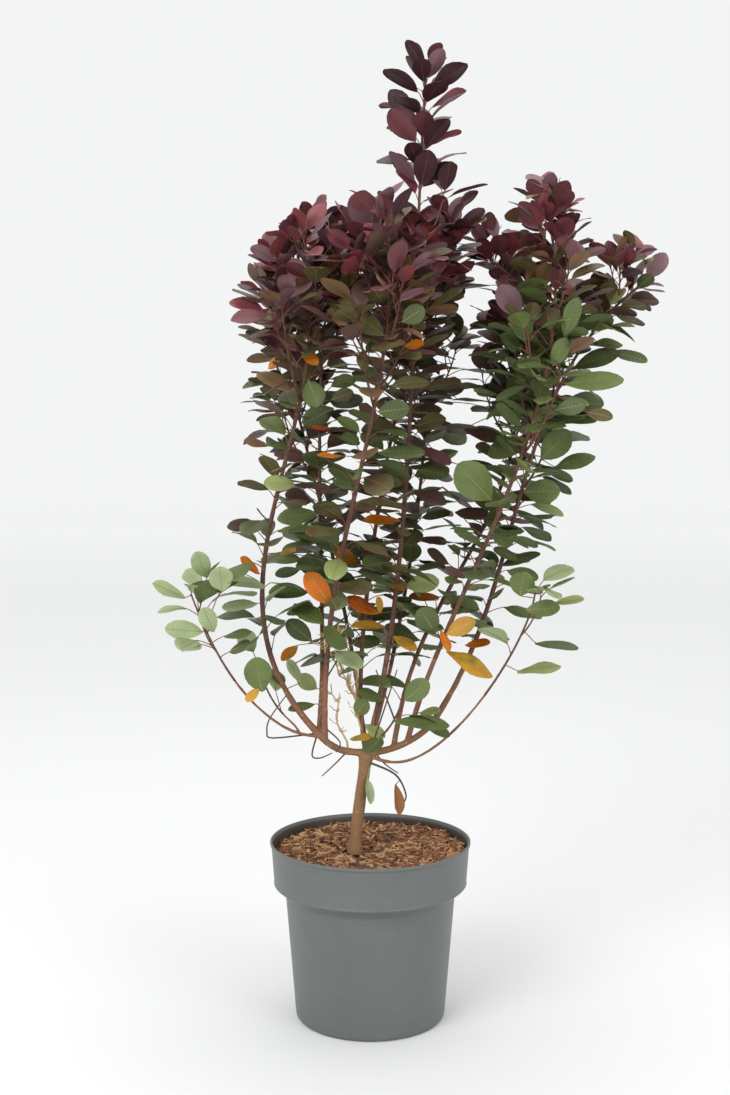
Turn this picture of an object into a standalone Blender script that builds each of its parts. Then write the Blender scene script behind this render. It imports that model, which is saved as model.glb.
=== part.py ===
# A smoke bush in a round nursery pot, as separate solids: pot, soil, trunk, boughs and masses
# of foliage. Metres, +Z up. The origin is the centre of the pot's flat underside, and the side
# that faces the viewer looks towards -Y.

import math
import random
from collections import namedtuple

import bmesh
import bpy
import numpy as np
from mathutils import Vector
from mathutils.bvhtree import BVHTree
from mathutils.geometry import interpolate_bezier

# Driving sizes
GAP = 0.0003
POT_HEIGHT = 0.274
POT_RIM_RADIUS = 0.1543
POT_COLLAR_RADIUS = 0.1522
POT_COLLAR_FOOT_RADIUS = 0.1482
POT_COLLAR_FOOT = 0.209
POT_BODY_RADIUS = 0.1307
POT_BODY_TOP = 0.193
POT_BASE_RADIUS = 0.1150
POT_WALL = 0.0030
POT_SIDES = 36
SOIL_TOP = 0.260
SOIL_EDGE_DROP = 0.003
TRUNK_FOOT = Vector((-0.024, 0.0, SOIL_TOP + GAP))
TRUNK_HEAD = Vector((-0.006, 0.0, 0.408))
TRUNK_RADIUS = 0.0095
FLARE_RADIUS = 0.0125
HEAD_RADIUS = 0.0140

# How limbs, twigs and leaves are made
SEAT_GAP = 0.0006
SETTLE_ROUNDS = 5
TRUNK_SIDES = 10
BOUGH_SIDES = 6
BOUGH_STEPS = 4
STEM_SIDES = 4
STEM_STEPS = 9
TWIG_SIDES = 3
TWIG_STEPS = 2
GOLDEN_TURN = math.radians(137.508)
TWIG_ROOT_RADIUS = 0.0024
TWIG_TIP_RADIUS = 0.0014
TWIG_RISE = math.radians(64.0)
TWIG_CLEARANCE = 0.020
LEAF_REACH_OVER = 0.022
LEAF_LOOK = 0.17
LEAF_TRIES = ((0.0, 1.0), (0.7, 1.0), (-0.7, 1.0), (0.0, 0.8), (1.3, 0.85), (-1.3, 0.85))
LIMB_CLEARANCE = 0.0012
LEAF_THICKNESS = 0.045
LEAF_SHOULDER = 0.42
LEAF_CHEEK = 0.80
LEAF_SHAPE = 0.60
FLAT_ANGLE = math.radians(0.5)

# A limb is a cubic Bezier curve (foot, two handles, tip) that another one carries. The share of
# it below the leaves is the bough, and the rest is the stem of a mass of foliage, which has a
# leaf every pitch.
Limb = namedtuple("Limb", "carrier curve foot_radius tip_radius bare pitch")

ARMS = {
    "arm_left": Limb(
        "trunk",
        (
            (-0.020, 0.000, 0.412),
            (-0.045, -0.002, 0.408),
            (-0.068, -0.010, 0.426),
            (-0.085, -0.010, 0.447),
        ),
        0.0066,
        0.0058,
        1.0,
        None,
    ),
    "arm_right": Limb(
        "trunk",
        (
            (0.008, 0.001, 0.411),
            (0.034, 0.000, 0.413),
            (0.066, 0.000, 0.427),
            (0.092, 0.001, 0.451),
        ),
        0.0066,
        0.0054,
        1.0,
        None,
    ),
}

STEMS = {
    "left_outer": Limb(
        "arm_left",
        (
            (-0.088, -0.010, 0.451),
            (-0.277, -0.042, 0.668),
            (-0.036, -0.080, 0.931),
            (-0.100, -0.095, 1.125),
        ),
        0.0052,
        0.0022,
        0.17,
        0.029,
    ),
    "left_back": Limb(
        "arm_left",
        (
            (-0.075, 0.004, 0.444),
            (-0.069, 0.082, 0.697),
            (-0.100, 0.104, 0.966),
            (-0.054, 0.140, 1.195),
        ),
        0.0042,
        0.0020,
        0.14,
        0.029,
    ),
    "front_middle": Limb(
        "arm_left",
        (
            (-0.064, -0.014, 0.436),
            (-0.090, -0.041, 0.697),
            (0.042, -0.144, 0.931),
            (0.024, -0.150, 1.160),
        ),
        0.0052,
        0.0024,
        0.15,
        0.029,
    ),
    "centre": Limb(
        "trunk",
        (
            (-0.012, 0.004, 0.420),
            (-0.035, 0.008, 0.595),
            (0.051, 0.090, 1.055),
            (0.115, 0.035, 1.185),
        ),
        0.0046,
        0.0020,
        0.14,
        0.029,
    ),
    "leader": Limb(
        "trunk",
        (
            (0.000, -0.001, 0.421),
            (0.070, 0.000, 0.730),
            (0.060, 0.000, 1.090),
            (0.082, 0.000, 1.430),
        ),
        0.0052,
        0.0020,
        0.13,
        0.029,
    ),
    "right_back": Limb(
        "arm_right",
        (
            (0.033, 0.010, 0.425),
            (0.098, 0.110, 0.740),
            (0.313, 0.120, 0.740),
            (0.204, 0.135, 1.190),
        ),
        0.0044,
        0.0020,
        0.20,
        0.029,
    ),
    "right_middle": Limb(
        "arm_right",
        (
            (0.053, -0.008, 0.433),
            (0.132, -0.064, 0.708),
            (0.320, -0.100, 0.952),
            (0.254, -0.050, 1.235),
        ),
        0.0046,
        0.0022,
        0.17,
        0.029,
    ),
    "right_outer": Limb(
        "arm_right",
        (
            (0.095, 0.001, 0.454),
            (0.251, 0.094, 0.664),
            (0.204, 0.027, 0.969),
            (0.405, 0.000, 1.120),
        ),
        0.0050,
        0.0020,
        0.17,
        0.029,
    ),
    "back_left": Limb(
        "trunk",
        (
            (-0.012, 0.013, 0.411),
            (-0.020, 0.075, 0.620),
            (-0.120, 0.180, 0.900),
            (-0.150, 0.205, 1.080),
        ),
        0.0042,
        0.0020,
        0.20,
        0.029,
    ),
    "back_right": Limb(
        "trunk",
        (
            (0.001, 0.012, 0.411),
            (0.060, 0.110, 0.620),
            (0.110, 0.210, 0.900),
            (0.090, 0.215, 1.130),
        ),
        0.0042,
        0.0020,
        0.20,
        0.029,
    ),
    "low_right": Limb(
        "trunk",
        (
            (0.004, -0.010, 0.406),
            (0.096, -0.023, 0.349),
            (0.240, -0.075, 0.597),
            (0.240, -0.090, 0.670),
        ),
        0.0030,
        0.0015,
        0.60,
        0.016,
    ),
    "low_left": Limb(
        "arm_left",
        (
            (-0.080, -0.018, 0.432),
            (-0.186, -0.050, 0.466),
            (-0.235, -0.076, 0.583),
            (-0.262, -0.090, 0.665),
        ),
        0.0028,
        0.0014,
        0.55,
        0.015,
    ),
    "low_left_inner": Limb(
        "low_left",
        (
            (-0.105, -0.028, 0.448),
            (-0.125, -0.035, 0.472),
            (-0.150, -0.060, 0.490),
            (-0.166, -0.075, 0.560),
        ),
        0.0022,
        0.0014,
        0.45,
        0.012,
    ),
    "heart": Limb(
        "trunk",
        (
            (-0.005, -0.012, 0.415),
            (0.010, -0.040, 0.440),
            (0.040, -0.055, 0.460),
            (0.048, -0.060, 0.510),
        ),
        0.0026,
        0.0014,
        0.40,
        0.013,
    ),
}

# The side twigs of a stem: how many, the bearing of the first, the shares of the stem between
# which they start, and the lengths of the lowest and the highest.
Twigs = namedtuple("Twigs", "count first_bearing low high low_length high_length")

TWIGS = {
    "left_outer": Twigs(9, 250, 0.66, 0.95, 0.150, 0.080),
    "left_back": Twigs(9, 130, 0.62, 0.94, 0.150, 0.070),
    "front_middle": Twigs(9, 250, 0.62, 0.94, 0.140, 0.070),
    "centre": Twigs(8, 20, 0.66, 0.94, 0.140, 0.060),
    "leader": Twigs(9, 300, 0.55, 0.97, 0.120, 0.035),
    "right_back": Twigs(7, 60, 0.55, 0.93, 0.130, 0.060),
    "right_middle": Twigs(9, 330, 0.45, 0.93, 0.140, 0.050),
    "right_outer": Twigs(8, 20, 0.40, 0.93, 0.120, 0.050),
    "back_left": Twigs(6, 150, 0.50, 0.92, 0.150, 0.060),
    "back_right": Twigs(6, 80, 0.50, 0.93, 0.150, 0.060),
    "low_right": Twigs(2, 340, 0.45, 0.75, 0.070, 0.040),
    "low_left": Twigs(3, 160, 0.25, 0.75, 0.070, 0.040),
}

# Leaf spacing along stems and twigs, and the size and stance of leaves from low to high
TWIG_PITCH = 0.029
TUFT_PITCH = 0.009
TUFT_REACH = 0.024
LOW_LEAF = 0.074
HIGH_LEAF = 0.062
LOW_STANCE = math.radians(74.0)
HIGH_STANCE = math.radians(54.0)
LEAF_ZONE = (0.55, 1.20)

Leaf = namedtuple("Leaf", "root along face length")


def clear_scene():
    for item in list(bpy.data.objects):
        bpy.data.objects.remove(item, do_unlink=True)


def finish_material(name, colour, roughness, metallic=0.0):
    material = bpy.data.materials.new(name)
    material.use_nodes = True
    shader = material.node_tree.nodes["Principled BSDF"]
    shader.inputs["Base Color"].default_value = (*colour, 1.0)
    shader.inputs["Roughness"].default_value = roughness
    shader.inputs["Metallic"].default_value = metallic
    material.diffuse_color = (*colour, 1.0)
    return material


def mesh_object(name, corners, faces, material, collection=None):
    mesh = bpy.data.meshes.new(name)
    mesh.from_pydata([tuple(corner) for corner in corners], [], faces)
    mesh.materials.append(material)
    item = bpy.data.objects.new(name, mesh)
    (collection or bpy.context.scene.collection).objects.link(item)
    return item


def lathe(profile, sides):
    """Corners and faces of a profile of (radius, height) pairs turned about Z; it starts and
    ends on the axis and runs so that the faces point out."""
    corners = [Vector((0.0, 0.0, profile[0][1]))]
    rings = []
    for radius, height in profile[1:-1]:
        rings.append(len(corners))
        for step in range(sides):
            turn = 2.0 * math.pi * step / sides
            corners.append(Vector((radius * math.cos(turn), radius * math.sin(turn), height)))
    top = len(corners)
    corners.append(Vector((0.0, 0.0, profile[-1][1])))
    faces = []
    for step in range(sides):
        after = (step + 1) % sides
        faces.append((0, rings[0] + after, rings[0] + step))
        for lower, upper in zip(rings, rings[1:]):
            faces.append((lower + step, lower + after, upper + after, upper + step))
        faces.append((top, rings[-1] + step, rings[-1] + after))
    return corners, faces


def inner_wall():
    """The inside of the pot's wall from the floor to the rim, as (radius, height) pairs."""
    return [
        (POT_BASE_RADIUS - POT_WALL, POT_WALL),
        (POT_BODY_RADIUS - POT_WALL, POT_BODY_TOP + POT_WALL),
        (POT_COLLAR_FOOT_RADIUS - POT_WALL, POT_COLLAR_FOOT + POT_WALL),
        (POT_COLLAR_RADIUS - POT_WALL, POT_HEIGHT),
    ]


def make_pot(material):
    rim_foot = POT_HEIGHT - 0.006
    edge = 0.003
    outer = [
        (0.0, 0.0),
        (POT_BASE_RADIUS - edge, 0.0),
        (POT_BASE_RADIUS, edge),
        (POT_BODY_RADIUS, POT_BODY_TOP),
        (POT_COLLAR_FOOT_RADIUS, POT_COLLAR_FOOT),
        (POT_COLLAR_RADIUS, rim_foot),
        (POT_RIM_RADIUS, rim_foot + 0.002),
        (POT_RIM_RADIUS, POT_HEIGHT),
    ]
    inner = [(radius, height) for radius, height in reversed(inner_wall())]
    corners, faces = lathe(outer + inner + [(0.0, POT_WALL)], POT_SIDES)
    return mesh_object("pot", corners, faces, material)


def wall_radius(height):
    """The inner wall's radius at a height, by straight lines between the profile's points."""
    wall = inner_wall()
    return float(np.interp(height, [point[1] for point in wall], [point[0] for point in wall]))


def make_soil(material):
    floor = POT_WALL + GAP
    edge = SOIL_TOP - SOIL_EDGE_DROP
    sides = [(wall_radius(floor) - GAP, floor)]
    for radius, height in inner_wall()[1:3]:
        sides.append((radius - 2.0 * GAP, height + GAP))
    sides.append((wall_radius(edge) - 2.0 * GAP, edge))
    profile = [(0.0, floor)] + sides + [(0.06, SOIL_TOP), (0.0, SOIL_TOP)]
    corners, faces = lathe(profile, POT_SIDES)
    return mesh_object("soil", corners, faces, material)


class Axis:
    """A tapering centre line: points at even steps, with a radius at each. Its foot is cut
    across the foot normal, or across the line itself where there is none."""

    def __init__(self, points, radii, foot_normal=None):
        self.points = points
        self.radii = radii
        self.foot_normal = foot_normal
        self.length = sum((b - a).length for a, b in zip(points, points[1:]))

    def place(self, share):
        """The point, direction and radius at a share of the way along."""
        spot = min(max(share, 0.0), 1.0) * (len(self.points) - 1)
        index = min(int(spot), len(self.points) - 2)
        part = spot - index
        point = self.points[index].lerp(self.points[index + 1], part)
        before = self.points[max(index - 1, 0)]
        after = self.points[min(index + 2, len(self.points) - 1)]
        radius = self.radii[index] * (1.0 - part) + self.radii[index + 1] * part
        return point, (after - before).normalized(), radius

    def heading(self):
        """The direction in which the last piece of the line runs."""
        return (self.points[-1] - self.points[-2]).normalized()

    def cut(self, low, high, steps):
        places = [self.place(low + (high - low) * step / steps) for step in range(steps + 1)]
        foot_normal = self.foot_normal if low == 0.0 else None
        return Axis([place[0] for place in places], [place[2] for place in places], foot_normal)

    def segments(self):
        return np.array([[tuple(a), tuple(b)] for a, b in zip(self.points, self.points[1:])])


def curve_axis(curve, foot_radius, tip_radius, steps=24):
    foot, low_handle, high_handle, tip = (Vector(point) for point in curve)
    points = interpolate_bezier(foot, low_handle, high_handle, tip, steps + 1)
    radii = [foot_radius + (tip_radius - foot_radius) * step / steps for step in range(steps + 1)]
    return Axis(points, radii)


def tube(axis, sides):
    """Corners and faces of a closed tapering tube."""
    points = axis.points
    normal = axis.foot_normal
    directions = [(points[1] - points[0]).normalized()]
    for before, after in zip(points, points[2:]):
        directions.append((after - before).normalized())
    directions.append((points[-1] - points[-2]).normalized())
    across = directions[0].orthogonal().normalized()
    corners = []
    for index, (point, direction) in enumerate(zip(points, directions)):
        across = (across - direction * across.dot(direction)).normalized()
        beside = direction.cross(across)
        for step in range(sides):
            turn = 2.0 * math.pi * step / sides
            offset = (across * math.cos(turn) + beside * math.sin(turn)) * axis.radii[index]
            if index == 0 and normal is not None:
                offset -= direction * (offset.dot(normal) / direction.dot(normal))
            corners.append(point + offset)
    faces = [tuple(reversed(range(sides)))]
    for ring in range(len(points) - 1):
        for step in range(sides):
            after = (step + 1) % sides
            low = ring * sides
            high = low + sides
            faces.append((low + step, low + after, high + after, high + step))
    faces.append(tuple(range((len(points) - 1) * sides, len(points) * sides)))
    return corners, faces


def trunk_axis():
    """The trunk leans as it rises, flares at its foot and swells where the arms fork."""
    low_handle = TRUNK_FOOT + Vector((0.002, 0.0, 0.05))
    high_handle = TRUNK_HEAD - Vector((0.006, 0.0, 0.05))
    lean = (TRUNK_FOOT, low_handle, high_handle, TRUNK_HEAD)
    axis = curve_axis(lean, TRUNK_RADIUS, TRUNK_RADIUS * 0.94, 8)
    axis.foot_normal = Vector((0.0, 0.0, 1.0))
    axis.radii[0] = FLARE_RADIUS
    axis.radii[1] = (FLARE_RADIUS + TRUNK_RADIUS * 2.0) / 3.0
    swell = HEAD_RADIUS * 0.97
    axis.radii[-2] = TRUNK_RADIUS * 1.12
    axis.radii[-1] = swell
    for rise, share in ((0.45, 0.86), (0.80, 0.55)):
        axis.points.append(TRUNK_HEAD + Vector((0.0, 0.0, HEAD_RADIUS * rise)))
        axis.radii.append(HEAD_RADIUS * share)
    return axis


def foot_samples(axis):
    """Points spread over the foot face of a bough."""
    foot = axis.points[0]
    ring = tube(axis, BOUGH_SIDES)[0][:BOUGH_SIDES]
    middles = [a.lerp(b, 0.5) for a, b in zip(ring, ring[1:] + ring[:1])]
    edge = ring + middles
    return [foot] + edge + [foot.lerp(point, 0.5) for point in edge]


def seat(limb, carrier_axis, carrier_tree):
    """The limb's own axis with its foot just clear of its carrier and cut to face it."""
    axis = curve_axis(limb.curve, limb.foot_radius, limb.tip_radius)
    foot = axis.points[0]
    heading = (axis.points[1] - foot).normalized()
    if limb.carrier == "trunk":
        normal = (foot - TRUNK_HEAD).normalized()
        spot = TRUNK_HEAD + normal * (HEAD_RADIUS + SEAT_GAP)
    else:
        shares = [step / 200.0 for step in range(201)]
        nearest = min(shares, key=lambda share: (carrier_axis.place(share)[0] - foot).length)
        point, direction, radius = carrier_axis.place(nearest)
        if nearest >= 0.995:
            normal = carrier_axis.heading()
            spot = foot - normal * ((foot - point).dot(normal) - SEAT_GAP)
        else:
            normal = foot - point
            normal = (normal - direction * normal.dot(direction)).normalized()
            spot = point + normal * (radius + SEAT_GAP)
    shift = spot - foot
    reach = 6
    for index in range(reach):
        axis.points[index] = axis.points[index] + shift * (1.0 - index / reach)
    if heading.dot(normal) < 0.5:
        heading = (heading + normal).normalized()
        axis.points[1] = axis.points[0] + heading * (axis.points[1] - axis.points[0]).length
    axis.foot_normal = normal
    for _ in range(SETTLE_ROUNDS):
        gap = min(carrier_tree.find_nearest(sample)[3] for sample in foot_samples(axis))
        axis.points[0] = axis.points[0] + normal * (SEAT_GAP - gap)
    return axis


def stem_above(axis, bough, bare):
    """The part of a limb's axis above its bough: it starts one gap from the bough's end, and
    the two faces there are parallel."""
    stem = axis.cut(bare, 1.0, STEM_STEPS)
    stem.foot_normal = bough.heading()
    stem.points[0] = bough.points[-1] + stem.foot_normal * GAP
    return stem


def distances(samples, segments):
    """The distance of each sample to its nearest segment."""
    start = segments[:, 0]
    run = segments[:, 1] - start
    square = np.maximum((run * run).sum(axis=1), 1e-12)
    offset = samples[:, None, :] - start[None, :, :]
    share = np.clip((offset * run[None, :, :]).sum(axis=2) / square[None, :], 0.0, 1.0)
    nearest = offset - share[:, :, None] * run[None, :, :]
    return np.sqrt((nearest * nearest).sum(axis=2)).min(axis=1)


def twig_axis(stem, share, bearing, length):
    """A side twig that leaves the stem sideways and then turns upwards."""
    start, direction, radius = stem.place(share)
    outward = Vector((math.cos(bearing), math.sin(bearing), 0.0))
    level = outward * (length * math.cos(TWIG_RISE))
    rise = Vector((0.0, 0.0, length * math.sin(TWIG_RISE)))
    bend = start + level * 0.75 + rise * 0.38
    root_radius = min(TWIG_ROOT_RADIUS, radius * 0.8)
    handles = (start, start.lerp(bend, 0.67), bend.lerp(start + level + rise, 0.33), start + level + rise)
    return curve_axis(handles, root_radius, TWIG_TIP_RADIUS, TWIG_STEPS)


def grow_twigs(stems):
    """Every stem's side twigs. A twig that comes too near another stem or its twigs is
    shortened, and left out where that isn't enough."""
    grown = {name: [] for name in stems}
    for name, plan in TWIGS.items():
        for index in range(plan.count):
            part = index / max(plan.count - 1, 1)
            share = plan.low + (plan.high - plan.low) * part
            length = plan.low_length + (plan.high_length - plan.low_length) * part
            bearing = math.radians(plan.first_bearing) + index * GOLDEN_TURN
            others = [stems[other].segments() for other in stems if other != name]
            others += [twig.segments() for other in grown if other != name for twig in grown[other]]
            own = [twig.segments() for twig in grown[name]]
            for shorter in (1.0, 0.75, 0.5):
                twig = twig_axis(stems[name], share, bearing, length * shorter)
                samples = np.array([tuple(point) for point in twig.points])
                free = distances(samples, np.concatenate(others)).min() > TWIG_CLEARANCE
                if own:
                    free = free and distances(samples, np.concatenate(own)).min() > TWIG_CLEARANCE / 2
                if free:
                    grown[name].append(twig)
                    break
    return grown


def leaf_corners(leaf):
    """A leaf's six corners: root, right shoulder and cheek, tip, left cheek and shoulder."""
    side = leaf.along.cross(leaf.face).normalized()
    half = side * (leaf.length * LEAF_SHAPE * 0.5)
    wide = half * 0.90
    blunt = half * 0.86
    lift = leaf.face * (leaf.length * LEAF_THICKNESS)
    shoulder = leaf.root + leaf.along * (leaf.length * LEAF_SHOULDER) + lift
    cheek = leaf.root + leaf.along * (leaf.length * LEAF_CHEEK) + lift
    tip = leaf.root + leaf.along * leaf.length
    return [leaf.root, shoulder + wide, cheek + blunt, tip, cheek - blunt, shoulder - wide]


# A flat top over an underside that is folded along the midrib, eight triangles in all. Only the
# two edges and the midrib leave the root.
LEAF_FACES = [
    (0, 1, 5),
    (1, 2, 5),
    (2, 4, 5),
    (2, 3, 4),
    (0, 3, 1),
    (3, 2, 1),
    (0, 5, 3),
    (5, 4, 3),
]


def leaf_spots(axis, start, pitch):
    """The shares of an axis where leaves stand: evenly spaced, then crowded below its tip."""
    spots = []
    place = start * axis.length
    while place < axis.length - TUFT_REACH:
        spots.append(place / axis.length)
        place += pitch
    place = axis.length - TUFT_REACH
    while place < axis.length:
        spots.append(place / axis.length)
        place += TUFT_PITCH
    return spots


def plan_leaf(axis, share, turn, chance):
    """One leaf: low ones stand off level, and high ones and those of a tuft stand up."""
    point, direction, _ = axis.place(share)
    across = direction.orthogonal().normalized()
    beside = direction.cross(across)
    outward = across * math.cos(turn) + beside * math.sin(turn)
    height = (point.z - LEAF_ZONE[0]) / (LEAF_ZONE[1] - LEAF_ZONE[0])
    height = min(max(height, 0.0), 1.0)
    stance = LOW_STANCE + (HIGH_STANCE - LOW_STANCE) * height
    stance -= math.radians(14.0) * max(0.0, (share - 0.85) / 0.15)
    stance += chance.uniform(-0.16, 0.16)
    along = (direction * math.cos(stance) + outward * math.sin(stance)).normalized()
    face = (direction - along * direction.dot(along)).normalized()
    roll = chance.uniform(-0.5, 0.5)
    face = face * math.cos(roll) + along.cross(face) * math.sin(roll)
    length = (LOW_LEAF + (HIGH_LEAF - LOW_LEAF) * height) * chance.uniform(0.88, 1.12)
    return Leaf(point, along, face, length)


def leaf_samples(corners):
    """The corners and the points halfway between each two of them."""
    points = np.array([tuple(corner) for corner in corners])
    pairs = [(a, b) for a in range(6) for b in range(a + 1, 6)]
    halves = np.array([(points[a] + points[b]) * 0.5 for a, b in pairs])
    return np.concatenate([points[1:], halves])


def wood_tree(axis, sides, room):
    """A search tree of a limb's surface with some room round it."""
    thick = Axis(axis.points, [radius + room for radius in axis.radii], axis.foot_normal)
    return BVHTree.FromPolygons(*tube(thick, sides))


def grow_leaves(name, skeletons, pitch, bare_trees, taken, seed):
    """The leaves of one mass. One that would reach too far into another mass's space, or touch
    a limb, a twig or another leaf, is turned or made smaller, and left out where that isn't
    enough."""
    chance = random.Random(seed)
    stem, twigs = skeletons[name]
    own = np.concatenate([axis.segments() for axis in [stem] + twigs])
    others = [skeletons[other] for other in skeletons if other != name]
    foreign = np.concatenate([axis.segments() for stem, twigs in others for axis in [stem] + twigs])
    wood = list(bare_trees)
    for other_stem, other_twigs in others:
        wood.append(wood_tree(other_stem, STEM_SIDES, LIMB_CLEARANCE))
        wood += [wood_tree(twig, TWIG_SIDES, LIMB_CLEARANCE) for twig in other_twigs]
    own_wood = [wood_tree(twig, TWIG_SIDES, 0.0) for twig in twigs]
    leaves = []
    axes = [(stem, 0.04, pitch, None)]
    axes += [(twig, 0.30, TWIG_PITCH, index) for index, twig in enumerate(twigs)]
    for axis, start, step, own_twig in axes:
        blocked = wood + [tree for index, tree in enumerate(own_wood) if index != own_twig]
        turn = chance.uniform(0.0, 2.0 * math.pi)
        for share in leaf_spots(axis, start, step):
            turn += GOLDEN_TURN
            for nudge, smaller in LEAF_TRIES:
                leaf = plan_leaf(axis, share, turn + nudge, chance)
                leaf = leaf._replace(length=leaf.length * smaller)
                corners = leaf_corners(leaf)
                samples = leaf_samples(corners)
                margin = distances(samples, foreign) - distances(samples, own)
                if margin.min() < -LEAF_REACH_OVER:
                    continue
                tree = BVHTree.FromPolygons(corners, LEAF_FACES)
                near = [one for root, one in taken if (root - leaf.root).length < LEAF_LOOK]
                if any(tree.overlap(one) for one in near + blocked):
                    continue
                leaves.append(leaf)
                taken.append((leaf.root, tree))
                break
    return leaves


def keep_largest_shell(mesh):
    """Triangles only, with loose scraps and the skins of sealed hollows taken away."""
    work = bmesh.new()
    work.from_mesh(mesh)
    bmesh.ops.remove_doubles(work, verts=work.verts, dist=1e-6)
    bmesh.ops.dissolve_limit(work, angle_limit=FLAT_ANGLE, verts=work.verts, edges=work.edges)
    bmesh.ops.triangulate(work, faces=work.faces)
    shells = []
    left = set(work.faces)
    while left:
        shell = {left.pop()}
        front = list(shell)
        while front:
            face = front.pop()
            for edge in face.edges:
                for near in edge.link_faces:
                    if near in left:
                        left.discard(near)
                        shell.add(near)
                        front.append(near)
        shells.append(shell)
    shells.sort(key=len)
    for shell in shells[:-1]:
        bmesh.ops.delete(work, geom=list(shell), context="FACES")
    work.to_mesh(mesh)
    work.free()


def join_mass(name, stem, twigs, leaves, material):
    """One solid from a stem, its twigs and its leaves, by a union on their collection."""
    pieces = bpy.data.collections.new(name + "_pieces")
    bpy.context.scene.collection.children.link(pieces)
    for index, twig in enumerate(twigs):
        mesh_object("%s_twig_%d" % (name, index), *tube(twig, TWIG_SIDES), material, pieces)
    for index, leaf in enumerate(leaves):
        mesh_object("%s_leaf_%d" % (name, index), leaf_corners(leaf), LEAF_FACES, material, pieces)
    mass = mesh_object(name, *tube(stem, STEM_SIDES), material)
    union = mass.modifiers.new("join", "BOOLEAN")
    union.operation = "UNION"
    union.operand_type = "COLLECTION"
    union.collection = pieces
    union.solver = "EXACT"
    graph = bpy.context.evaluated_depsgraph_get()
    joined = bpy.data.meshes.new_from_object(mass.evaluated_get(graph))
    mass.modifiers.clear()
    mass.data = joined
    joined.name = name
    keep_largest_shell(joined)
    for piece in list(pieces.objects):
        bpy.data.objects.remove(piece, do_unlink=True)
    bpy.data.collections.remove(pieces)
    return mass


def build_plant(bark, leaf_materials):
    trunk = trunk_axis()
    mesh_object("trunk", *tube(trunk, TRUNK_SIDES), bark)
    axes = {"trunk": trunk}
    surfaces = {"trunk": wood_tree(trunk, TRUNK_SIDES, 0.0)}
    bare_trees = [wood_tree(trunk, TRUNK_SIDES, LIMB_CLEARANCE)]
    stems = {}
    for name, limb in {**ARMS, **STEMS}.items():
        axis = seat(limb, axes[limb.carrier], surfaces[limb.carrier])
        bough = axis.cut(0.0, limb.bare, BOUGH_STEPS)
        axes[name] = bough
        surfaces[name] = wood_tree(bough, BOUGH_SIDES, 0.0)
        node = name if name in ARMS else "bough_" + name
        mesh_object(node, *tube(bough, BOUGH_SIDES), bark)
        bare_trees.append(wood_tree(bough, BOUGH_SIDES, LIMB_CLEARANCE))
        if name in STEMS:
            stems[name] = stem_above(axis, bough, limb.bare)
    grown = grow_twigs(stems)
    skeletons = {name: (stem, grown[name]) for name, stem in stems.items()}
    taken = []
    for seed, (name, (stem, twigs)) in enumerate(skeletons.items()):
        leaves = grow_leaves(name, skeletons, STEMS[name].pitch, bare_trees, taken, seed + 1)
        upper = stem.points[-1].z > LEAF_ZONE[1] - 0.12
        material = leaf_materials["wine" if upper else "green"]
        join_mass("foliage_" + name, stem, twigs, leaves, material)


def main():
    clear_scene()
    plastic = finish_material("grey_plastic", (0.16, 0.165, 0.17), 0.55)
    mulch = finish_material("bark_mulch", (0.30, 0.14, 0.07), 0.95)
    bark = finish_material("red_brown_bark", (0.26, 0.13, 0.085), 0.80)
    leaf_materials = {
        "wine": finish_material("wine_leaves", (0.085, 0.018, 0.028), 0.55),
        "green": finish_material("green_leaves", (0.10, 0.16, 0.06), 0.60),
    }
    make_pot(plastic)
    make_soil(mulch)
    build_plant(bark, leaf_materials)


main()
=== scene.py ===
import math
import random
from collections import namedtuple

import bpy
import numpy as np
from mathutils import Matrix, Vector, noise
from mathutils.geometry import interpolate_bezier


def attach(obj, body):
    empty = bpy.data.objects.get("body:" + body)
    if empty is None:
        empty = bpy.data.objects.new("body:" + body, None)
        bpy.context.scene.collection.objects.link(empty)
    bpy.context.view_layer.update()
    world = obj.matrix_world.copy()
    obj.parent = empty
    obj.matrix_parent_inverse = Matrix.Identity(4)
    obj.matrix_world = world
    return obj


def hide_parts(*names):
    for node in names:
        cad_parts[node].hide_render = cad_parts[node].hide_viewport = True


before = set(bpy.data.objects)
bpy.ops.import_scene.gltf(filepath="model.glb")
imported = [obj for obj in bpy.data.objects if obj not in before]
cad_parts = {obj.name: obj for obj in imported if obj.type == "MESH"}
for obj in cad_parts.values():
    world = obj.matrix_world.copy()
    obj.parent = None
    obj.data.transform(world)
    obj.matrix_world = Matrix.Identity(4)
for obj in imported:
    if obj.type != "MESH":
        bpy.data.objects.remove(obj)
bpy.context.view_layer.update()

FULL_TURN = 2.0 * math.pi
GOLDEN_TURN = math.radians(137.508)
UP = Vector((0.0, 0.0, 1.0))

# Camera and picture frame
IMAGE_WIDTH = 730
IMAGE_HEIGHT = 1095
FOCAL_PIXELS = 1456.0
SENSOR = 36.0
CAMERA_SPOT = Vector((-0.0082, -2.201, 0.910))
CAMERA_TILT = math.radians(4.79)
LOOK = Vector((0.0, math.cos(CAMERA_TILT), -math.sin(CAMERA_TILT)))
LOOK_UP = Vector((0.0, math.sin(CAMERA_TILT), math.cos(CAMERA_TILT)))

# Studio: each lamp's place, what it aims at, its size and its power in watts
LAMPS = {
    "key": ((-1.9, -2.6, 2.7), (0.0, 0.0, 0.75), 2.0, 74.0),
    "fill": ((2.4, -2.4, 1.7), (0.0, 0.0, 0.7), 1.8, 30.0),
    "top": ((0.2, 0.6, 3.4), (0.0, 0.0, 0.9), 2.2, 28.0),
}
SKY_COLOUR = (0.945, 0.957, 0.953, 1.0)
SKY_STRENGTH = 0.95
FLOOR_HALF = 14.0
FLOOR_DROP = 0.0005
# Floor colours near the middle and far off: the darker near colour is painted shade that evens out the
# lamps' light there
FLOOR_NEAR_PAINTED_SHADE = (0.750, 0.754, 0.752)
FLOOR_FAR = (0.985, 0.990, 0.986)

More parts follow.
